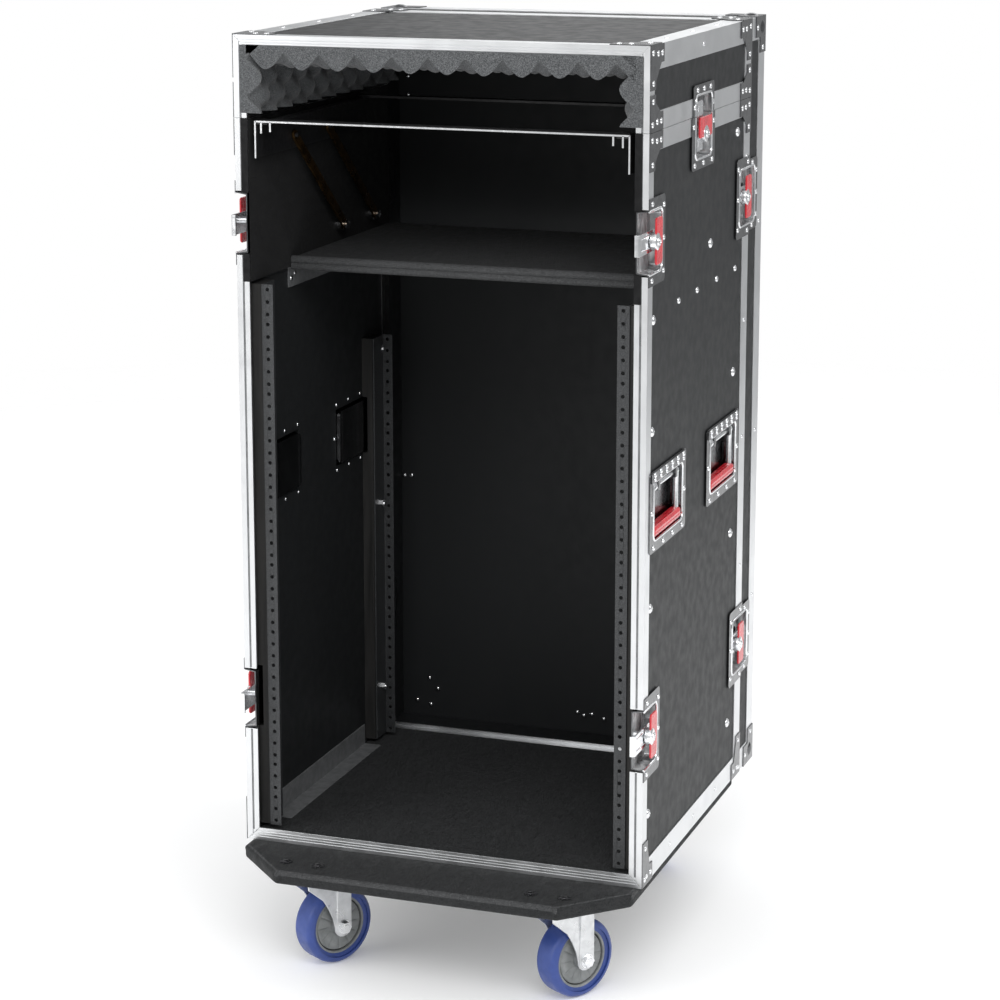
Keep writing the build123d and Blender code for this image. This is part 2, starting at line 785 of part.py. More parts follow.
os.makedirs("parts", exist_ok=True)
side_panels()
bottom_panel()
lid_panels()
rear_cover_panels()
body_frame()
lid_frame()
rear_cover_frame()
hardware()
rails()
support_angles()
equipment_shelf()
compartment_liners()
lid_foam()
case_bolts()
for name, plane in latches.items():
    latch_moving(name, plane)
for name, plane in handles.items():
    handle_bail(name, plane)
popup_frame()
popup_arms("popup_front_arms", 0, running_fit)
popup_arms("popup_rear_arms", arm_spacing, open_pivot)
dolly_board()
caster_plates()
for side, word in zip(sides, ("left", "right")):
    caster(f"front_{word}", side * caster_x, front + caster_backs[0], front_heading)
    inward = (-side * rear_heading[0], rear_heading[1])
    caster(f"rear_{word}", side * caster_x, front + caster_backs[1], inward)
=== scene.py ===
"""Looks of an equipment rack case on a dolly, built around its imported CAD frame.

Metres, +Z up, the open front faces -Y. Each latch, handle and caster is built in a local
frame taken from its own joints; everything else is placed from the boxes of the CAD nodes.
"""

import json
import math

import bmesh
import bpy
from mathutils import Matrix, Vector


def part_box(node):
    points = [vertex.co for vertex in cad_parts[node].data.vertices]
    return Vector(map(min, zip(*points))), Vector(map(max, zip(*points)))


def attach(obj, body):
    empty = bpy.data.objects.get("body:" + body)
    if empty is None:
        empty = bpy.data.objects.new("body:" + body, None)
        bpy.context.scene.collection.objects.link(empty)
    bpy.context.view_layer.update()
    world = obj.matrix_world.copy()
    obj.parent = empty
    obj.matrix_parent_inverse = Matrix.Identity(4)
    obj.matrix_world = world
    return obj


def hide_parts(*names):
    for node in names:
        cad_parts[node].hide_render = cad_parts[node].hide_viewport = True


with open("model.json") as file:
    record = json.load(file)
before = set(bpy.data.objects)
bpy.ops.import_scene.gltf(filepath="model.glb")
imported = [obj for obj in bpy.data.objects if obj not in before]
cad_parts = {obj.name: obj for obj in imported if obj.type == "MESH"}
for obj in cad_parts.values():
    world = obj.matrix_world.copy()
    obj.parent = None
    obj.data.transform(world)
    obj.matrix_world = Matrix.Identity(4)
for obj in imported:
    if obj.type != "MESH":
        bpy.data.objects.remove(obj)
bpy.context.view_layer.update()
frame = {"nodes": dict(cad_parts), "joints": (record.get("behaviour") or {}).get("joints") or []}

MM = 0.001
SIDES = {"left": -1, "right": 1}
UP = Vector((0, 0, 1))
joints = {joint["name"]: joint for joint in frame["joints"]}
nodes = frame["nodes"]


# ---------------- materials

class Surface:
    """One procedural material, built up by named steps on its Principled shader."""

    def __init__(self, name, **sockets):
        """Name the material and set its constant sockets."""
        self.material = bpy.data.materials.new(name)
        self.material.use_nodes = True
        self.tree = self.material.node_tree
        self.shader = self.tree.nodes["Principled BSDF"]
        for socket, value in sockets.items():
            self.shader.inputs[socket.replace("_", " ")].default_value = value
        self.place = self.tree.nodes.new("ShaderNodeTexCoord").outputs["Object"]
        self.height = None

    def node(self, kind, **sockets):
        """A shader node with each socket linked or set."""
        made = self.tree.nodes.new(f"ShaderNode{kind}")
        for socket, value in sockets.items():
            target = made.inputs[socket.replace("_", " ")]
            if isinstance(value, bpy.types.NodeSocket):
                self.tree.links.new(value, target)
            else:
                target.default_value = value
        return made

    def noise(self, scale, detail=3, stretch=(1, 1, 1), distortion=0.0):
        """Noise over the piece's own coordinates, stretched along the axes where asked."""
        mapped = self.node("Mapping", Vector=self.place, Scale=stretch).outputs[0]
        made = self.node("TexNoise", Vector=mapped, Scale=scale, Detail=detail, Distortion=distortion)
        return made.outputs[0]

    def cells(self, scale):
        """Distance to the nearest cell centre."""
        mapped = self.node("Mapping", Vector=self.place).outputs[0]
        return self.node("TexVoronoi", Vector=mapped, Scale=scale).outputs["Distance"]

    def spread(self, value, low, high, start=0.35, end=0.65):
        """A value remapped to run from low to high between start and end."""
        ranged = self.node("MapRange", Value=value, From_Min=start, From_Max=end, To_Min=low, To_Max=high)
        return ranged.outputs[0]

    def colour(self, value, dark, light, start=0.35, end=0.65):
        """Base colour that runs from dark to light with a value."""
        ramp = self.node("ValToRGB", Fac=value)
        for element, shade, position in zip(ramp.color_ramp.elements, (dark, light), (start, end)):
            element.position = position
            element.color = (*shade, 1)
        self.tree.links.new(ramp.outputs[0], self.shader.inputs["Base Color"])
        return self

    def rough(self, value, low, high):
        """Roughness that runs from low to high with a value."""
        self.tree.links.new(self.spread(value, low, high), self.shader.inputs["Roughness"])
        return self

    def bump(self, value, depth, strength=1.0):
        """Relief of a given depth in metres, added to any relief already there."""
        made = self.node("Bump", Height=value, Distance=depth, Strength=strength)
        if self.height:
            self.tree.links.new(self.height, made.inputs["Normal"])
        self.height = made.outputs[0]
        self.tree.links.new(self.height, self.shader.inputs["Normal"])
        return self


def laminate():
    """Black laminate with a fine upright grain and faint scuffs."""
    made = Surface("laminate", Specular_IOR_Level=0.22)
    grain = made.noise(420, 4, (1, 1, 0.16))
    scuffs = made.noise(7, 6, (1, 1, 0.4), 0.6)
    made.colour(scuffs, (0.0155, 0.0165, 0.0175), (0.0200, 0.0212, 0.0222), 0.2, 0.8)
    made.rough(made.noise(60, 5), 0.44, 0.54)
    return made.bump(grain, 0.10 * MM, 0.6).bump(made.cells(900), 0.05 * MM, 0.4).material


def aluminium():
    """Anodised extrusion, faintly drawn, with small handling marks."""
    made = Surface("aluminium", Metallic=1.0)
    drawn = made.noise(900, 3, (1, 1, 0.05))
    marks = made.noise(14, 8, (1, 1, 1), 1.2)
    made.colour(marks, (0.72, 0.73, 0.74), (0.81, 0.82, 0.83), 0.2, 0.8)
    made.rough(made.noise(35, 6), 0.28, 0.38)
    return made.bump(drawn, 0.02 * MM, 0.4).material


def plated():
    """Dark nickel-plated steel with smudges and faint press marks."""
    made = Surface("plated_steel", Metallic=1.0)
    smudge = made.noise(45, 6, (1, 1, 1), 1.5)
    made.colour(smudge, (0.10, 0.10, 0.105), (0.20, 0.205, 0.21), 0.3, 0.75)
    made.rough(made.noise(120, 5), 0.10, 0.22)
    return made.bump(made.noise(70, 3), 0.25 * MM, 0.35).material


def chrome():
    """Bright plating inside the pressed dishes, drawn into soft waves."""
    made = Surface("pressed_chrome", Metallic=0.55)
    waves = made.noise(38, 5, (1, 1, 0.35), 2.2)
    made.colour(waves, (0.16, 0.165, 0.17), (0.78, 0.79, 0.80), 0.36, 0.66)
    made.rough(made.noise(120, 5), 0.10, 0.24)
    return made.bump(waves, 1.2 * MM, 0.6).material


def polished():
    """Brighter plating of rivets, bolt heads and rods."""
    made = Surface("polished_steel", Metallic=1.0)
    made.colour(made.noise(160, 4), (0.82, 0.83, 0.85), (0.94, 0.95, 0.96))
    made.rough(made.noise(220, 4), 0.12, 0.24)
    return made.bump(made.noise(300, 2), 0.05 * MM, 0.3).material


def zinc(name, dark, light):
    """Zinc plating with its soft cloudy patches."""
    made = Surface(name, Metallic=0.9)
    made.colour(made.noise(55, 5, (1, 1, 1), 0.8), dark, light, 0.3, 0.7)
    made.rough(made.noise(90, 4), 0.26, 0.44)
    return made.bump(made.noise(500, 3), 0.04 * MM, 0.4).material


def powder(name, dark, light, low, high, coat=0.0):
    """Powder coat or gloss paint, with its orange peel."""
    made = Surface(name, Coat_Weight=coat, Coat_Roughness=0.1)
    made.colour(made.noise(80, 5), dark, light)
    made.rough(made.noise(150, 4), low, high)
    return made.bump(made.noise(700, 2), 0.06 * MM, 0.6).material


def rack_coat():
    """Coarse dark coating of the rack rails, speckled with bare glints."""
    made = Surface("rack_coat", Metallic=0.35, Specular_IOR_Level=0.6)
    made.colour(made.noise(1500, 2), (0.018, 0.019, 0.020), (0.080, 0.083, 0.087), 0.38, 0.68)
    made.rough(made.noise(700, 3), 0.38, 0.6)
    return made.bump(made.noise(1500, 2), 0.08 * MM, 0.8).material


def carpet(name, dark, light, depth):
    """Short needle-felt carpet: matted fibres with brushed patches."""
    made = Surface(name, Sheen_Weight=0.04, Sheen_Roughness=0.5, Specular_IOR_Level=0.2)
    fibre = made.noise(700, 5, (1, 0.12, 1), 2.5)
    brushed = made.noise(38, 6, (1, 0.6, 1), 2.0)
    made.colour(fibre, dark, light, 0.35, 0.72)
    made.rough(brushed, 0.62, 0.9)
    return made.bump(brushed, depth * 1.6, 0.5).bump(fibre, depth, 0.9).material


def foam_skin():
    """Open-cell foam, speckled by its pores."""
    made = Surface("open_cell_foam", Sheen_Weight=0.2, Specular_IOR_Level=0.2)
    pores = made.noise(1300, 3)
    made.colour(pores, (0.034, 0.036, 0.038), (0.190, 0.196, 0.202), 0.40, 0.72)
    made.rough(made.noise(500, 3), 0.85, 1.0)
    return made.bump(pores, 0.5 * MM, 0.8).bump(made.noise(160, 3), 0.5 * MM, 0.4).material


def rubber_blue():
    """Cast elastic tread, slightly dusty."""
    made = Surface("blue_rubber", Specular_IOR_Level=0.5, Coat_Weight=0.1, Coat_Roughness=0.4)
    made.colour(made.noise(40, 6, (1, 1, 1), 1.0), (0.022, 0.050, 0.215), (0.034, 0.070, 0.285), 0.3, 0.7)
    made.rough(made.noise(110, 5), 0.34, 0.52)
    return made.bump(made.noise(260, 4), 0.10 * MM, 0.5).material


def moulded_grey():
    """Grey nylon hub with flow marks."""
    made = Surface("grey_nylon", Specular_IOR_Level=0.45)
    made.colour(made.noise(30, 6, (1, 1, 1), 1.6), (0.16, 0.17, 0.17), (0.27, 0.28, 0.28), 0.3, 0.7)
    made.rough(made.noise(90, 5), 0.38, 0.55)
    return made.bump(made.noise(320, 3), 0.08 * MM, 0.5).material


def blackened_wood():
    """Plywood batten stained black, its grain still showing."""
    made = Surface("black_stained_wood", Specular_IOR_Level=0.3)
    grain = made.noise(90, 6, (1, 1, 0.06), 0.8)
    made.colour(grain, (0.009, 0.009, 0.009), (0.028, 0.027, 0.026), 0.3, 0.7)
    made.rough(grain, 0.5, 0.75)
    return made.bump(grain, 0.25 * MM, 0.6).material


def studio_floor():
    """Pale seamless floor."""
    glow = {"Emission_Color": (1, 1, 1, 1), "Emission_Strength": 0.16}
    made = Surface("studio_floor", Specular_IOR_Level=0.1, **glow)
    made.colour(made.noise(0.6, 2), (0.88, 0.88, 0.88), (0.90, 0.90, 0.90))
    made.rough(made.noise(3, 2), 0.7, 0.8)
    away = made.node("VectorMath", Vector=made.place)
    away.operation = "LENGTH"
    made.tree.links.new(made.spread(away.outputs["Value"], 1.0, 0.0, 2.2, 4.0), made.shader.inputs["Alpha"])
    return made.material


BLACK_LAMINATE = laminate()
ALUMINIUM = aluminium()
PLATED = plated()
CHROME = chrome()
POLISHED = polished()
RED = powder("red_powder_coat", (0.50, 0.010, 0.020), (0.66, 0.020, 0.032), 0.22, 0.36, 0.5)
RACK_COAT = rack_coat()
DARK_STEEL = zinc("dark_plated_steel", (0.05, 0.05, 0.055), (0.11, 0.11, 0.115))
BRIGHT_ZINC = zinc("bright_zinc", (0.62, 0.63, 0.64), (0.80, 0.81, 0.82))
YELLOW_ZINC = zinc("yellow_zinc", (0.050, 0.028, 0.010), (0.170, 0.095, 0.032))
GROOVE_SHADE = zinc("groove_shade", (0.16, 0.165, 0.17), (0.26, 0.265, 0.27))
BRACKET_ZINC = powder("bracket_zinc", (0.12, 0.123, 0.127), (0.17, 0.174, 0.178), 0.34, 0.5)
FLOOR_CARPET = carpet("needle_felt_carpet", (0.0035, 0.0038, 0.004), (0.046, 0.048, 0.050), 0.6 * MM)
# Lighter copy of the carpet, laid on rounded front edges as a painted highlight.
EDGE_HIGHLIGHT_CARPET = carpet("rolled_carpet", (0.010, 0.0105, 0.011), (0.110, 0.112, 0.115), 0.5 * MM)
WALL_FELT = carpet("lining_felt", (0.0055, 0.0056, 0.006), (0.0095, 0.0095, 0.010), 0.15 * MM)
FOAM = foam_skin()
POPUP_COAT = powder("popup_coat", (0.004, 0.004, 0.0045), (0.010, 0.010, 0.011), 0.45, 0.6)
BLUE_RUBBER = rubber_blue()
GREY_NYLON = moulded_grey()
STAINED_WOOD = blackened_wood()


# ---------------- mesh helpers

def local(origin, x, z):
    """Matrix of a local frame from its origin and its X and Z directions."""
    x, z = Vector(x).normalized(), Vector(z).normalized()
    turn = Matrix((x, z.cross(x), z)).transposed().to_4x4()
    turn.translation = Vector(origin)
    return turn


def placed(name, data):
    """A new object in the scene."""
    made = bpy.data.objects.new(name, data)
    bpy.context.scene.collection.objects.link(made)
    return made


def piece(name, bm, where, material, body, bevel=0.0, segments=2):
    """Turn a finished bmesh, drawn in a local frame, into a piece that rides on a body."""
    bmesh.ops.remove_doubles(bm, verts=bm.verts, dist=1e-6)
    bmesh.ops.recalc_face_normals(bm, faces=bm.faces)
    bm.transform(where)
    mesh = bpy.data.meshes.new(name)
    bm.to_mesh(mesh)
    bm.free()
    mesh.materials.append(material)
    mesh.shade_smooth()
    mesh.set_sharp_from_angle(angle=math.radians(35))
    made = placed(name, mesh)
    if bevel:
        round_edges(made, bevel, segments)
    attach(made, body)
    return made


def round_edges(made, width, segments=2):
    """Break an object's sharp edges with a small rounding."""
    bevel = made.modifiers.new("edges", "BEVEL")
    bevel.width = width
    bevel.segments = segments
    bevel.limit_method = "ANGLE"
    bevel.angle_limit = math.radians(35)
    bevel.harden_normals = True


def rounded(width, height, radius, steps=5):
    """Outline of a rounded rectangle about the origin, corner by corner."""
    points = []
    for corner in range(4):
        sx, sy = ((1, 1), (-1, 1), (-1, -1), (1, -1))[corner]
        for step in range(steps + 1):
            angle = math.radians(90 * (corner + step / steps))
            x = sx * (width / 2 - radius) + radius * math.cos(angle)
            points.append((x, sy * (height / 2 - radius) + radius * math.sin(angle)))
    return points


def in_mm(points):
    """Points given in millimetres, as metres."""
    return [tuple(value * MM for value in point) for point in points]


def ring_at(bm, points, where=Matrix()):
    """New vertices at points of a local frame."""
    return [bm.verts.new(where @ Vector(point)) for point in points]


def prism(bm, outline, low, high, where=Matrix()):
    """A straight prism on an outline, between two heights of a local frame."""
    close_pair(bm, [ring_at(bm, [(x, y, z) for x, y in outline], where) for z in (low, high)])


def close_pair(bm, rings):
    """A solid from its first ring to its second, with a face on each."""
    bm.faces.new(rings[0][::-1])
    bm.faces.new(rings[1])
    join_rings(bm, rings[0], rings[1])


def join_rings(bm, first, second, closed=True):
    """Quads between two rings of vertices."""
    count = len(first)
    for i in range(count if closed else count - 1):
        j = (i + 1) % count
        bm.faces.new((first[i], first[j], second[j], second[i]))


def lathe(bm, profile, where=Matrix(), steps=32):
    """A closed solid of revolution about local Z; the profile is (radius, height) points."""
    rings = []
    for radius, z in profile:
        if radius:
            angles = [2 * math.pi * step / steps for step in range(steps)]
            spots = [(radius * math.cos(a), radius * math.sin(a), z) for a in angles]
        else:
            spots = [(0, 0, z)]
        rings.append(ring_at(bm, spots, where))
    for first, second in zip(rings, rings[1:]):
        if len(first) == len(second):
            join_rings(bm, first, second)
        else:
            tip, ring = (first, second) if len(first) == 1 else (second, first)
            for i in range(len(ring)):
                bm.faces.new((tip[0], ring[i], ring[(i + 1) % len(ring)]))
    return rings


def dome(bm, where, radius, height, steps=12):
    """A domed head standing on a local frame's XY plane, sunk slightly into it."""
    profile = [(radius, -0.3 * MM), (radius, 0.15 * height)]
    for degree in (30, 60):
        angle = math.radians(degree)
        profile.append((radius * math.cos(angle), height * (0.15 + 0.85 * math.sin(angle))))
    lathe(bm, [(0, -0.3 * MM)] + profile + [(0, height)], where, steps)


def tube(bm, points, radius, closed=False, steps=10):
    """A round rod along a chain of points, square to the chain at each of them."""
    points = [Vector(point) for point in points]
    count = len(points)
    rings = []
    side = None
    for i, point in enumerate(points):
        before = points[i - 1] if closed or i else point
        after = points[(i + 1) % count] if closed or i < count - 1 else point
        along = (after - before).normalized()
        if side is None:
            side = along.orthogonal().normalized()
        side = (side - along * side.dot(along)).normalized()
        other = along.cross(side)
        ring = []
        for step in range(steps):
            angle = 2 * math.pi * step / steps
            ring.append(bm.verts.new(point + radius * (math.cos(angle) * side + math.sin(angle) * other)))
        rings.append(ring)
    for first, second in zip(rings, rings[1:]):
        join_rings(bm, first, second)
    if closed:
        join_rings(bm, rings[-1], rings[0])
    else:
        bm.faces.new(rings[0][::-1])
        bm.faces.new(rings[-1])


def shift(x, y, z=0.0):
    """A move in millimetres within a local frame."""
    return Matrix.Translation((x * MM, y * MM, z * MM))


# ---------------- CAD nodes that stay

def dress(name, material, bevel):
    """Give a CAD node its material and softened edges."""
    node = nodes[name]
    node.data.materials.clear()
    node.data.materials.append(material)
    node.modifiers.new("weld", "WELD").merge_threshold = 1e-6
    if bevel:
        round_edges(node, bevel * MM)
    node.modifiers.new("normals", "WEIGHTED_NORMAL").keep_sharp = True


for material, bevel, dressed in (
    (BLACK_LAMINATE, 0, ("side_panels", "lid_panels", "rear_cover_panels", "bottom_panel")),
    (ALUMINIUM, 0.25, ("body_frame", "lid_frame", "rear_cover_frame")),
    (PLATED, 0.2, ("body_corner_plates", "lid_hardware", "rear_cover_hardware")),
    (PLATED, 0.3, ("latch_dishes", "handle_dishes")),
    (RACK_COAT, 0.3, ("rack_rails",)),
    (STAINED_WOOD, 0.5, ("rail_battens",)),
    (BRACKET_ZINC, 0.3, ("support_angles",)),
    (WALL_FELT, 0.8, ("compartment_liners",)),
    (BRIGHT_ZINC, 0.3, ("caster_plates",)),
    (POPUP_COAT, 0.3, ("popup_frame",)),
    (YELLOW_ZINC, 0.4, ("popup_front_arms", "popup_rear_arms")),
):
    for name in dressed:
        dress(name, material, bevel)


# ---------------- places taken from the frame

def corner(node, end):
    """Lowest or highest corner of a CAD node."""
    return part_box(node)[end]


half_width = corner("body_frame", 1).x
case_front = corner("body_frame", 0).y
case_back = corner("body_frame", 1).y
cover_back = corner("rear_cover_frame", 1).y
case_top = corner("lid_frame", 1).z
parting = (corner("body_frame", 1).z + corner("lid_frame", 0).z) / 2
wall_inside = half_width - 10.5 * MM
depth = case_back - case_front


def joint_line(name):
    """Place and direction of a turning joint."""
    return Vector(joints[name]["pos_m"]), Vector(joints[name]["axis"])


def wall(side, back, drop, outside=True):
    """Local frame on a side wall, X backward on the right wall, Y up and Z out of the surface."""
    x = side * (half_width if outside else wall_inside)
    out = side if outside else -side
    return local((x, case_front + back * MM, case_top - drop * MM), (0, out, 0), (out, 0, 0))


# ---------------- latches

SPINDLE_BACK = 24
HOOK_TRAVEL = 7
STRAP_WIDTH = 26
WING_LEVELS = (2, 4.6)
DRIVER_REACH = 67
KEEPER_REACH = 39
DISH_RIM = 13
DISH_FLOOR = 13.7
MOUTH_HALF = 38
MOUTH_CORNER = 9
LIP_RADIUS = 1.6
LIP_LEVEL = 1.0
PLATE_TOP = 1.2
RIM_RIVETS = 12


def latch_frame(name):
    """Frame at a latch's parting line: X towards the mating half, Z outward."""
    spindle, outward = joint_line(f"turn_{name}")
    toward = Vector(joints[f"hook_{name}"]["axis"])
    return local(spindle + toward * SPINDLE_BACK * MM, toward, outward)


def arc(x, y, radius, start, end, steps=6):
    """Points of an arc, its angles in degrees."""
    angles = [math.radians(start + (end - start) * step / steps) for step in range(steps + 1)]
    return [(x + radius * math.cos(angle), y + radius * math.sin(angle)) for angle in angles]


def wing_outline():
    """Outline of a butterfly wing: rounded outer corners, and a notch round its hub."""
    inner, outer, half, notch = -4, 22, 28.5, 9.5
    side = math.degrees(math.asin(-inner / notch))
    points = arc(outer - 6, half - 6, 6, 0, 90) + arc(inner + 4, half - 4, 4, 90, 180)
    points += arc(0, 0, notch, 90 + side, -90 - side, 14)
    points += arc(inner + 4, 4 - half, 4, 180, 270) + arc(outer - 6, 6 - half, 6, -90, 0)
    return in_mm(points)


def latch(name):
    """Butterfly latch: red wing with its hub, and the hook strap behind it."""
    where = latch_frame(name)
    opened = "front" in name
    spindle = where @ shift(-SPINDLE_BACK, 0)
    if opened:
        spindle = spindle @ Matrix.Rotation(math.pi, 4, "Z")
    bm = bmesh.new()
    prism(bm, wing_outline(), WING_LEVELS[0] * MM, WING_LEVELS[1] * MM)
    body = f"latch_wing_{name}"
    wing = piece(f"wing_{name}", bm, spindle, RED, body, 0.9 * MM, 3)
    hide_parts(body)
    bm = bmesh.new()
    hub = [(0, -13.7), (5, -13.7), (5, -2.2), (10.5, -2.2), (11, -1.5), (11, 2.0), (10.4, 5.0)]
    hub += [(8.8, 5.8), (5.6, 6.2), (5.2, 7.6), (2.6, 8.4), (2.2, 7.6), (0, 7.5)]
    lathe(bm, in_mm(hub), steps=28)
    piece(f"hub_{name}", bm, spindle, POLISHED, body)
    bm = bmesh.new()
    travel = HOOK_TRAVEL if opened else 0
    bend = [(-46, -6.0), (13, -6.0), (14, -6.6), (14.3, -8), (14.3, -10), (16.6, -10), (16.6, -6)]
    bend += [(15.6, -4.2), (14, -3.5), (-46, -3.5)]
    strap(bm, bend, STRAP_WIDTH, travel)
    for v in (-7.5, 7.5):
        tube(bm, in_mm([(u + travel, v, -3.6) for u in (-40, 10)]), 1.1 * MM)
    body = f"latch_hook_{name}"
    hook = piece(f"hook_{name}", bm, where, POLISHED, body, 0.35 * MM, 2)
    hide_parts(body)


def strap(bm, section, width, travel):
    """A bent strap: a section in the local XZ plane, given a width along Y."""
    sides = [in_mm([(x + travel, y, z) for x, z in section]) for y in (width / 2, -width / 2)]
    close_pair(bm, [ring_at(bm, points) for points in sides])


def half_outline(way, length, half, radius):
    """Open outline of one half of a dish mouth, from the parting line round its far end and back."""
    outline = rounded(2 * length, 2 * half, radius, 8)
    start = next(i for i, (x, y) in enumerate(outline) if x * way < 0)
    kept = [(x, y) for x, y in outline[start:] + outline[:start] if x * way > 0]
    return [(way * 0.4, kept[0][1])] + kept + [(way * 0.4, kept[-1][1])]


def dish_trim(name):
    """Rolled lip, rivets and bright pan of both halves of one latch dish."""
    where = latch_frame(name)
    halves = [("root", -1, DRIVER_REACH, 40, 46)]
    if "lid" in name:
        halves.append(("lid", 1, KEEPER_REACH, 30, 42))
    if "rear" in name:
        halves.append(("rear_cover", 1, KEEPER_REACH, 30, 42))
    for body, way, reach, spacing, side_v in halves:
        mouth = reach - DISH_RIM
        chain = half_outline(way, mouth, MOUTH_HALF, MOUTH_CORNER)
        bm = bmesh.new()
        tube(bm, in_mm([(x, y, LIP_LEVEL) for x, y in chain]), LIP_RADIUS * MM, steps=8)
        heads = [(reach - DISH_RIM / 2, v) for v in (-spacing, 0, spacing)]
        heads += [(RIM_RIVETS, v) for v in (-side_v, side_v)]
        for u, v in heads:
            dome(bm, shift(way * u, v, PLATE_TOP), 3.4 * MM, 2.0 * MM)
        piece(f"dish_trim_{body}_{name}", bm, where, POLISHED, body)
        bm = bmesh.new()
        rings = []
        for inset, level in ((0.45, -0.4), (2.4, -DISH_FLOOR)):
            rim = half_outline(way, mouth - inset, MOUTH_HALF - inset, MOUTH_CORNER - inset)
            rings.append(ring_at(bm, in_mm([(x, y, level) for x, y in rim])))
        join_rings(bm, rings[0], rings[1], closed=False)
        bm.faces.new(rings[1])
        bmesh.ops.recalc_face_normals(bm, faces=bm.faces)
        bmesh.ops.solidify(bm, geom=bm.faces[:], thickness=0.12 * MM)
        piece(f"dish_pan_{body}_{name}", bm, where, CHROME, body)


for latch_name in [name[5:] for name in joints if name.startswith("turn_")]:
    latch(latch_name)
    dish_trim(latch_name)


# ---------------- handles

BAIL_DEPTH = 5
BAIL_HALF = 54
BAIL_HINGE = 28
BAIL_GRIP = -27
BAIL_RADIUS = 3.9
COIL_RADIUS = 5.2
COIL_STEPS = 60
COIL_TURN = 0.6
GRIP_RADIUS = 6.882
HANDLE_MOUTH = (128, 74)
HOOD_MIDDLE = 43.5
HOOD_TOP = 2.6


def handle(name):
    """Spring handle: bail, ribbed grip, coil springs, riveted hood and rivets."""
    place = joint_line(f"lift_{name}")[0]
    side = 1 if place.x > 0 else -1
    centre = place + Vector((side * BAIL_DEPTH * MM, 0, -BAIL_HINGE * MM))
    where = local(centre, (0, side, 0), (side, 0, 0))
    body = f"handle_{name}"
    bm = bmesh.new()
    ring = rounded(2 * BAIL_HALF, BAIL_HINGE - BAIL_GRIP, 7, 6)
    middle = (BAIL_HINGE + BAIL_GRIP) / 2
    chain = in_mm([(x, y + middle, -BAIL_DEPTH) for x, y in ring])
    tube(bm, chain, BAIL_RADIUS * MM, closed=True, steps=16)
    bail = piece(f"bail_{name}", bm, where, POLISHED, body)
    bm = bmesh.new()
    grip_section(bm, 2 * BAIL_HALF + 8, BAIL_GRIP, BAIL_DEPTH)
    piece(f"grip_{name}", bm, where, RED, body, 0.6 * MM, 2)
    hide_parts(body)
    bm = bmesh.new()
    for way in (-1, 1):
        coil = []
        for t in range(COIL_STEPS):
            across, out = (COIL_RADIUS * turn(t * COIL_TURN) for turn in (math.cos, math.sin))
            along = way * (44 + 6 * t / COIL_STEPS)
            coil.append((along, BAIL_HINGE + across, out - BAIL_DEPTH))
        tube(bm, in_mm(coil), 0.7 * MM, steps=6)
    piece(f"springs_{name}", bm, where, POLISHED, "root")
    bm = bmesh.new()
    outline = in_mm([(x, y + HOOD_MIDDLE) for x, y in rounded(150, 13, 3)])
    prism(bm, outline, PLATE_TOP * MM, HOOD_TOP * MM)
    piece(f"hood_{name}", bm, where, PLATED, "root", 0.5 * MM, 3)
    bm = bmesh.new()
    lip = in_mm([(x, y, LIP_LEVEL) for x, y in rounded(*HANDLE_MOUTH, MOUTH_CORNER, 8)])
    tube(bm, lip, LIP_RADIUS * MM, closed=True, steps=8)
    for column in range(6):
        for v, radius in ((HOOD_MIDDLE + 3, 3.6), (HOOD_MIDDLE - 3, 2.6)):
            dome(bm, shift((column - 2.5) * 25, v, HOOD_TOP), radius * MM, 2.2 * MM)
    for u, v in [(column * 42 - 63, -45) for column in range(4)] + [(-71, 0), (71, 0)]:
        dome(bm, shift(u, v, PLATE_TOP), 3.6 * MM, 2.2 * MM)
    piece(f"handle_rivets_{name}", bm, where, POLISHED, "root")


def grip_section(bm, length, level, depth):
    """Moulded grip: a bar with rounded corners, fine ribs along it and plain ends."""
    rings = []
    stations, around = 49, 40
    for station in range(stations):
        t = station / (stations - 1)
        end = min(t, 1 - t) * length
        fit = 1 - 0.16 * math.exp(-end / 2.0)
        ring = []
        for step in range(around):
            angle = 2 * math.pi * step / around
            square = (abs(math.cos(angle)) ** 4 + abs(math.sin(angle)) ** 4) ** -0.25
            rib = 0.25 * math.cos(10 * angle) if 4 < end else 0
            reach = (GRIP_RADIUS * square + rib) * fit
            across, out = level + reach * math.cos(angle), reach * math.sin(angle) - depth
            ring.append(((t - 0.5) * length, across, out))
        rings.append(ring_at(bm, in_mm(ring)))
    bm.faces.new(rings[0])
    bm.faces.new(rings[-1][::-1])
    for first, second in zip(rings, rings[1:]):
        join_rings(bm, first, second)


for handle_name in [name[5:] for name in joints if name.startswith("lift_")]:
    handle(handle_name)


# ---------------- bolts and rivets

RAIL_BOLTS = [(27, 329), (27, 466), (27, 687), (27, 951), (405, 462), (405, 683), (405, 950)]
ARM_FEET = [(282, 272), (392, 272)]
SHELF_BOLTS = [(back, 323) for back in (138, 222, 315, 407)]
LIMIT_BOLT = (409, 143)


def bolt_head(bm, where, radius, height):
    """Pan head with a raised cross."""
    dome(bm, where, radius, height, 18)
    for turn in (0, math.pi / 2):
        bar = where @ Matrix.Rotation(turn, 4, "Z") @ Matrix.Translation((0, 0, height * 0.93))
        prism_at(bm, rounded(radius * 1.0, radius * 0.22, radius * 0.05, 1), bar, 0.25 * MM)


def prism_at(bm, outline, where, height):
    """A small prism that reaches a height either way from a local frame's XY plane."""
    prism(bm, outline, -height, height, where)


def hex_nut(bm, where, radius, height):
    """Hexagonal nut with a domed stud end."""
    outline = arc(0, 0, radius, 0, 300, 5)
    prism_at(bm, outline, where @ Matrix.Translation((0, 0, height / 2)), height / 2)
    dome(bm, where @ Matrix.Translation((0, 0, height)), radius * 0.5, radius * 0.5)


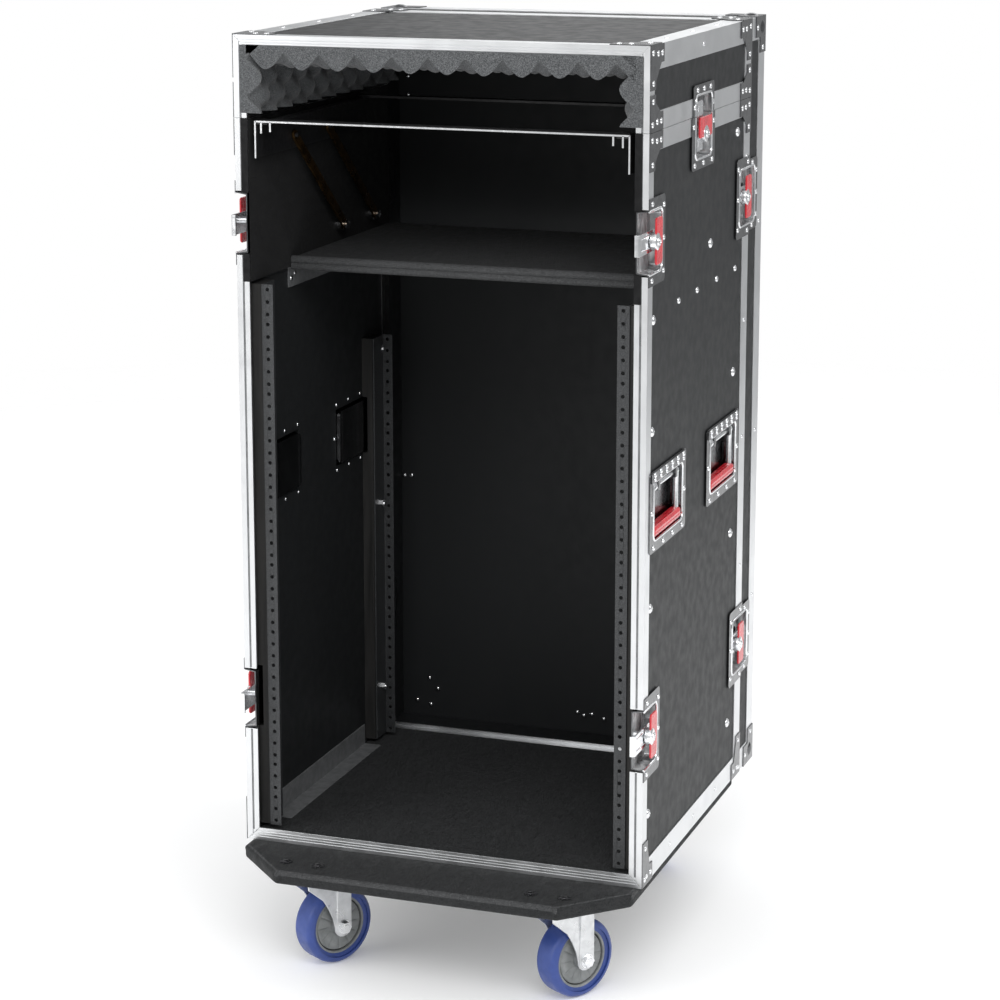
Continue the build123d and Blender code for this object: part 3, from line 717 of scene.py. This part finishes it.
def wall_bolts(bm, side):
    """Bolt heads outside a wall, with their nuts and the arms' foot pins inside it."""
    for back, drop in RAIL_BOLTS + ARM_FEET[:1] + [LIMIT_BOLT]:
        bolt_head(bm, wall(side, back, drop) @ shift(0, 0, -1.4), 6.3 * MM, 3.2 * MM)
    for back, drop in SHELF_BOLTS:
        bolt_head(bm, wall(side, back, drop) @ shift(0, 0, -1.4), 4.2 * MM, 2.6 * MM)
    for back, drop in RAIL_BOLTS:
        inside = wall(side, back, drop, False) @ shift(0, 0, 17.6)
        hex_nut(bm, inside, 5.5 * MM, 4 * MM)
    for back, drop in SHELF_BOLTS:
        dome(bm, wall(side, back, drop, False) @ shift(0, 0, 2.1), 3.6 * MM, 2.2 * MM)
    for back, drop in ARM_FEET:
        inside = wall(side, back, drop, False)
        pin = [(0, 0), (8, 0), (8, 15.3), (3, 15.3), (3, 20.1), (6, 20.1), (6, 23), (4.5, 24.2), (0, 24.4)]
        lathe(bm, in_mm(pin), inside)


bolt_group = bmesh.new()
for side in SIDES.values():
    wall_bolts(bolt_group, side)
case_bolts = piece("case_bolt_heads", bolt_group, Matrix(), POLISHED, "root")
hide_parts("case_bolts")


def rivets(name, spots, body, radius=3.0):
    """A group of small domed rivets."""
    bm = bmesh.new()
    for spot in spots:
        dome(bm, spot, radius * MM, 1.6 * MM, 10)
    piece(name, bm, Matrix(), POLISHED, body)


def face_up(x, y, z):
    """Local frame on a level surface, X to the right and Z up."""
    return local((x, y, z), (1, 0, 0), UP)


REAR_EDGE_DROPS = (180, 400, 560, 740)
COVER_DROPS = (275, 565, 800)
FOOT_DROP = 1025
EDGE_INSET = 15

for word, side in SIDES.items():
    mid = depth / MM / 2
    body_spots = [wall(side, back, FOOT_DROP) for back in (mid - 110, mid, mid + 110)]
    body_spots += [wall(side, depth / MM - EDGE_INSET, drop) for drop in REAR_EDGE_DROPS]
    lid_spots = [wall(side, mid, EDGE_INSET)]
    cover_spots = [wall(side, 525, drop) for drop in COVER_DROPS]
    edge = side * (half_width - EDGE_INSET * MM)
    lid_spots += [face_up(edge, case_front + y * MM, case_top) for y in (120, 235, 350)]
    for name in ("front", "rear"):
        hinge = joint_line(f"lift_{word}_{name}")[0]
        back = (hinge.y - case_front) / MM
        drop = (case_top - hinge.z) / MM + BAIL_HINGE
        body_spots += [wall(side, back + u, drop + v, False) for u in (-63, -21, 21, 63) for v in (-46, 45)]
        body_spots += [wall(side, back + u, drop, False) for u in (-71, 71)]
        body_spots += [wall(side, back + u * 14, drop + v, False) for u in (-3, -1, 1, 3) for v in (-32, -22)]
    rivets(f"body_rivets_{word}", body_spots, "root")
    rivets(f"lid_rivets_{word}", lid_spots, "lid")
    rivets(f"cover_rivets_{word}", cover_spots, "rear_cover")


CORNER_REACHES = ((43, 57), (54, 46), (56, 53), (54, 44))
CASE_HEIGHT = 1040
LID_HEIGHT = 102.5
LID_GAP = 0.25
COVER_DEPTH = 70


def corner_rivets(word, side):
    """Bright heads over the rivets of the corner plates, on the side walls and the lid's top."""
    body, lid, cover = [], [], []
    levels = ((body, CASE_HEIGHT, -1), (body, LID_HEIGHT + LID_GAP, 1))
    levels += ((lid, 0, 1), (lid, LID_HEIGHT - LID_GAP, -1))
    for end in (0, 1):
        for (spots, drop, way), (long, tall) in zip(levels, CORNER_REACHES):
            for a, b in ((9, 9), (long - 9, 11), (long - 26, 11), (11, tall - 8)):
                back = depth / MM - a if end else a
                spots.append(wall(side, back, drop + way * b) @ shift(0, 0, PLATE_TOP))
        for a, b in ((10, 34), (26, 10), (41, 10)):
            back = depth / MM - b if end else b
            x = side * (half_width - a * MM)
            lid.append(face_up(x, case_front + back * MM, case_top) @ shift(0, 0, PLATE_TOP))
    for drop, way in ((0, 1), (CASE_HEIGHT, -1)):
        for a, b in ((14, 41), (41, 14)):
            cover.append(wall(side, depth / MM + COVER_DEPTH - a, drop + way * b) @ shift(0, 0, PLATE_TOP))
            spot = (side * (half_width - a * MM), cover_back, case_top - (drop + way * b) * MM)
            cover.append(local(spot, (-1, 0, 0), (0, 1, 0)) @ shift(0, 0, PLATE_TOP))
    groups = (("body", body, "root"), ("lid", lid, "lid"), ("cover", cover, "rear_cover"))
    for name, spots, owner in groups:
        rivets(f"{name}_corner_rivets_{word}", spots, owner, 3.7)


for word, side in SIDES.items():
    corner_rivets(word, side)


# ---------------- foam, carpet and felt

FOAM_PITCH = 47.3 * MM
FOAM_BASE = 9 * MM
FOAM_WAVE = 20 * MM
FOAM_CREST = 13.5 * MM
FOAM_STEP = 3.5 * MM


def crate(u, v):
    """Height of egg-crate foam above its base: rounded crests in offset rows, creased valleys."""
    turn = 2 * math.pi / FOAM_PITCH
    wave = 0.5 + 0.5 * math.cos(turn * u) * math.cos(turn * v)
    return FOAM_BASE + FOAM_WAVE * wave ** 0.62


def egg_crate(name, where, size, start):
    """A slab of egg-crate foam: flat back on the local XY plane, peaks along local Z."""
    columns = round(size[0] / FOAM_STEP)
    rows = round(size[1] / FOAM_STEP)
    bm = bmesh.new()
    grid = []
    for i in range(columns + 1):
        grid.append([])
        for j in range(rows + 1):
            u, v = size[0] * i / columns, size[1] * j / rows
            wobble = 0.35 * MM * math.sin(u * 310 + v * 170) * math.sin(v * 260 - u * 90)
            grid[-1].append(bm.verts.new((u, v, crate(u + start[0], v + start[1]) + wobble)))
    for i in range(columns):
        for j in range(rows):
            bm.faces.new((grid[i][j], grid[i + 1][j], grid[i + 1][j + 1], grid[i][j + 1]))
    rim = [grid[i][0] for i in range(columns + 1)] + [grid[columns][j] for j in range(1, rows + 1)]
    rim += [grid[i][rows] for i in range(columns - 1, -1, -1)] + [grid[0][j] for j in range(rows - 1, 0, -1)]
    base = [bm.verts.new((vert.co.x, vert.co.y, 0)) for vert in rim]
    join_rings(bm, base, rim)
    bm.faces.new(base[::-1])
    made = piece(name, bm, where, FOAM, "lid")
    return made


floor_high_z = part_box("bottom_panel")[1].z
foam_front = case_front - 0.4 * MM
foam_wall = half_width - 8.5 * MM
foam_top = case_top - 12.4 * MM
foam_low, foam_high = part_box("lid_foam")
foam_depth = foam_high.y - foam_front
foam_reach = foam_wall - FOAM_BASE
ceiling = local((-foam_reach, foam_high.y, foam_top), (1, 0, 0), (0, 0, -1))
start = (-foam_reach - FOAM_CREST, -foam_depth)
top_foam = egg_crate("lid_foam_top", ceiling, (2 * foam_reach, foam_depth), start)
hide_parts("lid_foam")
for word, side in SIDES.items():
    first, run = (foam_front, 0) if side > 0 else (foam_high.y, -foam_depth)
    inner = local((side * foam_wall, first, foam_top), (0, side, 0), (-side, 0, 0))
    egg_crate(f"lid_foam_{word}", inner, (foam_depth, foam_top - foam_low.z), (run, 7.6 * MM))


def box_outline(low, high):
    """Outline of a rectangle between two corners."""
    return [(low.x, low.y), (high.x, low.y), (high.x, high.y), (low.x, high.y)]


def slabs(name, boxes, material, body):
    """A piece made of boxes: strips of felt, edges and tabs."""
    bm = bmesh.new()
    for one, other in boxes:
        low, high = Vector(map(min, one, other)), Vector(map(max, one, other))
        prism(bm, box_outline(low, high), low.z, high.z)
    piece(name, bm, Matrix(), material, body)


LINER_INSET = 16.75 * MM
FELT = 0.6 * MM
MOUTH = MOUTH_HALF * MM
front_face, back_face = foam_front, case_back - 3.4 * MM
body_low, body_high = corner("compartment_liners", 0).z, parting - 0.3 * MM
notch = case_top - 233 * MM
for word, side in SIDES.items():
    x = side * (half_width - LINER_INSET)
    inner, outer = x - side * FELT, side * foam_wall
    strips = [((x, front_face + 3.8 * MM, body_low), (inner, back_face, body_high))]
    for low, high in ((body_low, notch - MOUTH), (notch + MOUTH, body_high)):
        strips.append(((inner, front_face, low), (outer, case_front + FELT, high)))
    slabs(f"compartment_felt_{word}", strips, WALL_FELT, "root")
    # Dark felt strips over the rear portal lip, standing in for the shadow that falls there: painted shade.
    inner_wall = side * (wall_inside - 2.2 * MM)
    portal_shade_strips = [((inner_wall, case_back - 18 * MM, floor_high_z), (x, case_back - 3.2 * MM, body_low)),
                   ((x, case_back - 3.2 * MM, floor_high_z), (inner, case_back, body_high))]
    slabs(f"portal_felt_{word}", portal_shade_strips, WALL_FELT, "root")
    lid_edge = ((x, front_face + 3.8 * MM, parting + 0.3 * MM), (inner, back_face, foam_low.z + 1 * MM))
    slabs(f"lid_felt_{word}", [lid_edge], WALL_FELT, "lid")


def carpeted(name, outline, low, high, radius, segments):
    """A board wrapped in carpet: a rounded prism."""
    bm = bmesh.new()
    prism(bm, outline, low, high)
    return piece(name, bm, Matrix(), FLOOR_CARPET, "root", radius, segments)


def cut_board(low, high, cut, inset=0.0):
    """Outline of a board with its corners cut off, drawn in from its edges."""
    outline = []
    for sx, sy in ((1, 1), (-1, 1), (-1, -1), (1, -1)):
        x = (high if sx > 0 else low).x - sx * inset
        y = (high if sy > 0 else low).y - sy * inset
        pair = [(x, y - sy * cut), (x - sx * cut, y)]
        outline += pair if sx * sy > 0 else pair[::-1]
    return outline


ROLL_STEPS = 14
shelf_low, shelf_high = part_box("equipment_shelf")
shelf_outline = box_outline(shelf_low, shelf_high)
shelf = carpeted("shelf_carpet", shelf_outline, shelf_low.z, shelf_high.z, 5 * MM, 4)
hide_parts("equipment_shelf")
# Two carpet rolls along the shelf's front nose: their rounded shape is real, their lighter colour is a
# painted highlight.
bm = bmesh.new()
for drop, radius in ((3.2, 5.2), (11.5, 5.0)):
    level = (shelf_low.y + 2 * MM, shelf_high.z - drop * MM)
    ends = [Vector((x * (shelf_high.x - 1 * MM), *level)) for x in (-1, 1)]
    tube(bm, [ends[0].lerp(ends[1], t / 60) for t in range(61)], radius * MM, steps=ROLL_STEPS)
piece("shelf_carpet_roll", bm, Matrix(), EDGE_HIGHLIGHT_CARPET, "root")
floor_low, floor_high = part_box("bottom_panel")
inset = Vector((10.4 * MM, 11.5 * MM, 0))
bay_outline = box_outline(floor_low + inset, floor_high - inset)
carpeted("bay_floor_carpet", bay_outline, floor_high.z, floor_high.z + 1.6 * MM, 0.5 * MM, 2)
board_low, board_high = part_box("dolly_board")
BOARD_CUT = 74 * MM
ROLL = 5.3 * MM
board_outline = cut_board(board_low, board_high, BOARD_CUT)
dolly = carpeted("dolly_carpet", board_outline, board_low.z, board_high.z, 5.5 * MM, 5)
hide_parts("dolly_board")
# Carpet roll along the dolly's top edge: the rounding is real, its lighter colour is a painted highlight.
edge_roll = cut_board(board_low, board_high, BOARD_CUT - (2 - math.sqrt(2)) * ROLL, ROLL)
bm = bmesh.new()
roll_path = [(x, y, board_high.z - ROLL) for x, y in edge_roll]
tube(bm, roll_path, ROLL + 0.15 * MM, closed=True, steps=ROLL_STEPS)
piece("dolly_carpet_roll", bm, Matrix(), EDGE_HIGHLIGHT_CARPET, "root")


# ---------------- groove shadows

GROOVE = (9.85 * MM, 7.65 * MM)
GROOVE_DEPTHS = (case_front + 0.4 * MM, case_front + 0.9 * MM)
CROSS_RAIL = 14 * MM
NOTCH_HALF = 41.5 * MM
for word, side in SIDES.items():
    across = [side * (half_width - inset) for inset in GROOVE]
    stops = [corner("body_frame", 0).z + CROSS_RAIL]
    for row in ("lower", "upper"):
        level = latch_frame(f"{word}_front_{row}").translation.z
        stops += [level - NOTCH_HALF, level + NOTCH_HALF]
    stops += [parting - 0.6 * MM, parting + 0.6 * MM, case_top - CROSS_RAIL]
    corners = list(zip(across, GROOVE_DEPTHS))
    lines = [((*corners[0], low), (*corners[1], high)) for low, high in zip(stops[::2], stops[1::2])]
    slabs(f"groove_shadow_{word}", lines[:-1], GROOVE_SHADE, "root")
    slabs(f"groove_shadow_lid_{word}", lines[-1:], GROOVE_SHADE, "lid")


# ---------------- bare edges and rear fasteners

popup_low, popup_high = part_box("popup_frame")
edge_front = popup_low.y - 0.5 * MM
bar_top = popup_high.z
web_foot = bar_top - 47 * MM
edges = [((popup_low.x + 1 * MM, edge_front, bar_top - 2.6 * MM),
          (popup_high.x - 1 * MM, popup_low.y, bar_top - 0.6 * MM))]
for side in SIDES.values():
    x = popup_high.x * side
    edges.append(((x, edge_front, web_foot), (x - side * 2 * MM, popup_low.y, bar_top - 1 * MM)))
    for inset, drop in ((8, 16), (20, 14)):
        tab = x - side * inset * MM
        foot = (tab, edge_front, bar_top - drop * MM)
        edges.append((foot, (tab - side * 2.2 * MM, popup_low.y, bar_top - 2 * MM)))
slabs("popup_bare_edges", edges, POLISHED, "popup_frame")

REAR_FASTENERS = [(-252, 671), (-241, 670), (-215, 972), (-202, 987), (-234, 1007), (-213, 1012)]
REAR_FASTENERS += [(12, 1000), (22, 1004), (34, 1001), (52, 1006)]
bm = bmesh.new()
heads = [(x, drop, 3.4, 2.4) for x, drop in REAR_FASTENERS]
heads += [(-243, drop, 3.0, 2.0) for drop in (70, 96, 122)]
for x, drop, radius, height in heads:
    spot = (x * MM, cover_back - 11.5 * MM, case_top - drop * MM)
    dome(bm, local(spot, (1, 0, 0), (0, -1, 0)), radius * MM, height * MM)
piece("rear_fasteners", bm, Matrix(), POLISHED, "rear_cover")
bm = bmesh.new()
ANGLE_THICKNESS = 2 * MM
for side in SIDES.values():
    face = side * (corner("support_angles", 1).x - ANGLE_THICKNESS)
    for y, z in ((150, 0.8725), (205, 0.8735), (70, 0.178), (390, 0.178)):
        dome(bm, local((face, case_front + y * MM, z), (0, 1, 0), (-side, 0, 0)), 3.2 * MM, 2.0 * MM)
piece("angle_rivets", bm, Matrix(), POLISHED, "root")


# ---------------- casters

WHEEL_WIDTH = 36
HUB_RADIUS = 38
FORK_GAP = 20
TRAIL = 30
CROWN = 117
CROWN_PLATE = 4
LEG_END = 13.5
AXLE_END = 12
STAR_BOLTS = [(142, -61), (186, -61)]
PETALS = 12


def tyre(name, where, radius):
    """Cast tread with rounded shoulders and a raised bead beside the hub."""
    half = WHEEL_WIDTH / 2
    profile = [(HUB_RADIUS, half - 4), (HUB_RADIUS + 1.5, half - 3), (HUB_RADIUS + 5, half - 2.6)]
    for step in range(9):
        angle = math.radians(90 - 90 * step / 8)
        profile.append((radius - 8 + 8 * math.cos(angle), half - 8 + 8 * math.sin(angle)))
    profile.append((radius, 0))
    whole = profile + [(r, -z) for r, z in profile[-2::-1]]
    bm = bmesh.new()
    rings = lathe(bm, in_mm(whole), steps=72)
    join_rings(bm, rings[-1], rings[0])
    made = piece(f"tyre_{name}", bm, where, BLUE_RUBBER, f"caster_wheel_{name}")
    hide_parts(f"caster_tyre_{name}")


def hub(name, where):
    """Moulded wheel centre: rim, groove, petalled web and the bearing boss, with a near-black ring of painted
    shade at the groove's bottom.
    """
    half = WHEEL_WIDTH / 2
    face = [(5.05, half + 1, 0), (9, half + 1, 0), (12.5, half + 0.4, 0), (13.2, half - 1, 0)]
    face += [(13.4, half - 5, 0), (17, half - 5.4, 0.8), (22, half - 5.2, 1.6), (28, half - 5.0, 1.8)]
    face += [(32, half - 5.2, 1.2), (33.6, half - 6.4, 0), (34, half - 8.5, 0), (35.2, half - 8.5, 0)]
    face += [(35.4, half - 4.6, 0), (36.2, half - 4, 0), (HUB_RADIUS, half - 4, 0)]
    steps = 16 * PETALS
    bm = bmesh.new()
    rings = []
    for way, side_face in ((1, face), (-1, face[::-1])):
        for radius, z, petal in side_face:
            ring = []
            for step in range(steps):
                angle = 2 * math.pi * step / steps
                lobe = abs(math.sin(PETALS * angle / 2)) ** 0.45 - 1
                height = way * (z + petal * lobe)
                ring.append((radius * math.cos(angle), radius * math.sin(angle), height))
            rings.append(ring_at(bm, in_mm(ring)))
    for first, second in zip(rings, rings[1:] + rings[:1]):
        join_rings(bm, first, second)
    made = piece(f"hub_{name}", bm, where, GREY_NYLON, f"caster_wheel_{name}")
    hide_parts(f"caster_hub_{name}")
    # Near-black ring sunk at the bottom of the hub's groove: painted shade in that recess.
    bm = bmesh.new()
    for way in (-1, 1):
        z = way * (half - 8.2)
        groove = [(33.9, z - 0.4), (35.3, z - 0.4), (35.3, z + 0.4), (33.9, z + 0.4)]
        loops = lathe(bm, in_mm(groove), steps=64)
        join_rings(bm, loops[-1], loops[0])
    piece(f"groove_{name}", bm, where, POPUP_COAT, f"caster_wheel_{name}")


def fork_leg_outline(axle):
    """Side view of a fork leg: X along the heading, Y up."""
    points = [(-22, CROWN + CROWN_PLATE), (38, CROWN + CROWN_PLATE)]
    points += arc(TRAIL, axle, LEG_END, 4, -184, 8)
    for t in (0.25, 0.5, 0.75):
        points.append((TRAIL - LEG_END - 28 * t ** 1.6, axle + (CROWN - 10 - axle) * t))
    points.append((-22, CROWN - 6))
    return points


def fork(name, where, axle):
    """Pressed fork with its swivel head, axle, washers and nuts."""
    leg = [(x, y, 4 * min(max((y - 100) / 21, 0), 1)) for x, y in fork_leg_outline(axle)]
    foot = arc(TRAIL, axle, AXLE_END, 180, 360, 12)
    foot += [(TRAIL + AXLE_END, CROWN - 1), (TRAIL - 9, CROWN - 1)]
    bm = bmesh.new()
    for way in (-1, 1):
        rings = [[(x, way * (out - lean), y) for x, y, lean in leg] for out in (FORK_GAP, FORK_GAP + 3)]
        close_pair(bm, [ring_at(bm, in_mm(ring), where) for ring in rings])
    outline = in_mm([(x + 8, y) for x, y in rounded(60, 2 * FORK_GAP + 2, 9, 5)])
    prism(bm, outline, CROWN * MM, (CROWN + CROWN_PLATE) * MM, where)
    for way in (-1, 1):
        rings = [[(x, way * out, y) for x, y in foot] for out in (FORK_GAP + 0.6, FORK_GAP + 4.2)]
        close_pair(bm, [ring_at(bm, in_mm(ring), where) for ring in rings])
    body = f"caster_fork_{name}"
    made = piece(f"fork_{name}", bm, Matrix(), BRIGHT_ZINC, body, 0.9 * MM, 3)
    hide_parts(body)
    bm = bmesh.new()
    head = [(6.3, 3.5), (22, 3.5), (27, 4.2), (28.5, 6), (28.5, 7.4), (26, 8), (25.4, 8.6), (25.4, 10.8)]
    head.append((6.3, 10.8))
    rings = lathe(bm, in_mm([(r, CROWN + z) for r, z in head]), where, steps=48)
    join_rings(bm, rings[-1], rings[0])
    piece(f"swivel_head_{name}", bm, Matrix(), BRIGHT_ZINC, body)
    bm = bmesh.new()
    hole = where @ shift(TRAIL, 0, axle) @ Matrix.Rotation(math.pi / 2, 4, "X")
    pin = [(0, -30), (4.4, -30), (5, -29), (5, 29), (4.4, 30), (0, 30)]
    lathe(bm, in_mm(pin), hole, 24)
    for way in (-1, 1):
        outer = hole if way > 0 else hole @ Matrix.Rotation(math.pi, 4, "X")
        washer = [(r, FORK_GAP + z) for r, z in ((5, 4), (9.5, 4), (9.5, 5.4), (5, 5.4))]
        rings = lathe(bm, in_mm(washer), outer, 32)
        join_rings(bm, rings[-1], rings[0])
        prism_at(bm, in_mm(arc(0, 0, 8.2, 0, 300, 5)), outer @ shift(0, 0, FORK_GAP + 7.4), 2.2 * MM)
    piece(f"axle_{name}", bm, Matrix(), POLISHED, body, 0.3 * MM, 2)


for caster_name in [name[7:] for name in joints if name.startswith("swivel_")]:
    centre, axis = joint_line(f"spin_{caster_name}")
    pivot = joint_line(f"swivel_{caster_name}")[0]
    heading = Vector((centre.x - pivot.x, centre.y - pivot.y, 0))
    wheel = local(centre, UP, axis)
    upright = local((pivot.x, pivot.y, 0), heading, UP)
    tyre(caster_name, wheel, centre.z / MM)
    hub(caster_name, wheel)
    fork(caster_name, upright, centre.z / MM)


def star_bolts():
    """Black star-headed bolts of the casters, sunk in the carpet of the dolly's top."""
    bm = bmesh.new()
    for side in SIDES.values():
        for x, back in STAR_BOLTS:
            spot = face_up(side * x * MM, case_front + back * MM, board_high.z)
            for turn in range(4):
                bar = spot @ Matrix.Rotation(math.pi * turn / 4, 4, "Z") @ shift(0, 0, 0.6)
                prism_at(bm, rounded(17 * MM, 3 * MM, 1.2 * MM, 2), bar, 0.9 * MM)
            dome(bm, spot @ shift(0, 0, 0.5), 4.5 * MM, 2.4 * MM)
    piece("dolly_bolts", bm, Matrix(), DARK_STEEL, "root", 0.3 * MM)


star_bolts()


# ---------------- stage, light and camera

FLOOR_HALF = 4.5
FLOOR_LEVEL = -0.2 * MM
sheet = bpy.data.meshes.new("studio_floor")
square = [(x * FLOOR_HALF, y * FLOOR_HALF, FLOOR_LEVEL) for x, y in ((-1, -1), (1, -1), (1, 1), (-1, 1))]
sheet.from_pydata(square, [], [(0, 1, 2, 3)])
sheet.materials.append(studio_floor())
placed("studio_floor", sheet)


def studio_world():
    """White to the camera, even soft light on matt surfaces, a dark studio in mirror ones."""
    world = bpy.data.worlds.new("studio")
    world.use_nodes = True
    tree = world.node_tree
    link = tree.links.new
    background = tree.nodes["Background"]
    rays = tree.nodes.new("ShaderNodeLightPath")
    place = tree.nodes.new("ShaderNodeTexCoord").outputs["Generated"]
    toward = tree.nodes.new("ShaderNodeVectorMath")
    toward.operation = "DOT_PRODUCT"
    toward.inputs[1].default_value = Vector((-0.50, -0.55, 0.67)).normalized()
    link(place, toward.inputs[0])
    ramp = tree.nodes.new("ShaderNodeValToRGB")
    ramp.color_ramp.elements[0].position = 0.10
    ramp.color_ramp.elements[0].color = (0.40, 0.405, 0.41, 1)
    ramp.color_ramp.elements[1].position = 0.85
    ramp.color_ramp.elements[1].color = (0.82, 0.82, 0.82, 1)
    link(toward.outputs["Value"], ramp.inputs[0])
    soft = tree.nodes.new("ShaderNodeMix")
    soft.data_type = "RGBA"
    soft.inputs["A"].default_value = (0.80, 0.805, 0.81, 1)
    link(rays.outputs["Is Glossy Ray"], soft.inputs["Factor"])
    link(ramp.outputs[0], soft.inputs["B"])
    seen = tree.nodes.new("ShaderNodeMix")
    seen.data_type = "RGBA"
    seen.inputs["B"].default_value = (1, 1, 1, 1)
    link(rays.outputs["Is Camera Ray"], seen.inputs["Factor"])
    link(soft.outputs["Result"], seen.inputs["A"])
    link(seen.outputs["Result"], background.inputs["Color"])
    return world


bpy.context.scene.world = studio_world()
bpy.context.scene.view_settings.view_transform = "Standard"


def soft_light(name, place, target, size, power):
    """A square softbox aimed at a point."""
    lamp = bpy.data.lights.new(name, "AREA")
    lamp.shape = "RECTANGLE"
    lamp.size, lamp.size_y = size
    lamp.energy = power
    made = placed(name, lamp)
    made.location = place
    made.rotation_euler = (Vector(target) - Vector(place)).to_track_quat("-Z", "Y").to_euler()


CENTRE = (0, 0, 0.6)
soft_light("key", (1.2, -2.6, 3.1), CENTRE, (2.4, 1.6), 55)
soft_light("fill", (-2.6, -2.8, 1.8), CENTRE, (2.4, 2.4), 40)
soft_light("side", (3.2, 0.4, 2.4), CENTRE, (1.2, 2.2), 26)
soft_light("back", (0.0, 3.2, 2.6), CENTRE, (3.0, 1.6), 20)

SENSOR = 36.0
EYE = (1.2118, -3.4233, 1.4604)
PITCH_DOWN = 11.727
TURN_LEFT = 19.47
LENS_TO_SENSOR = 2.8472
LENS_RISE = -0.10
lens = bpy.data.cameras.new("camera")
lens.sensor_width = SENSOR
lens.lens = LENS_TO_SENSOR * SENSOR
lens.shift_y = LENS_RISE
camera = placed("camera", lens)
camera.location = EYE
camera.rotation_euler = (math.radians(90 - PITCH_DOWN), 0, math.radians(TURN_LEFT))
bpy.context.scene.camera = camera
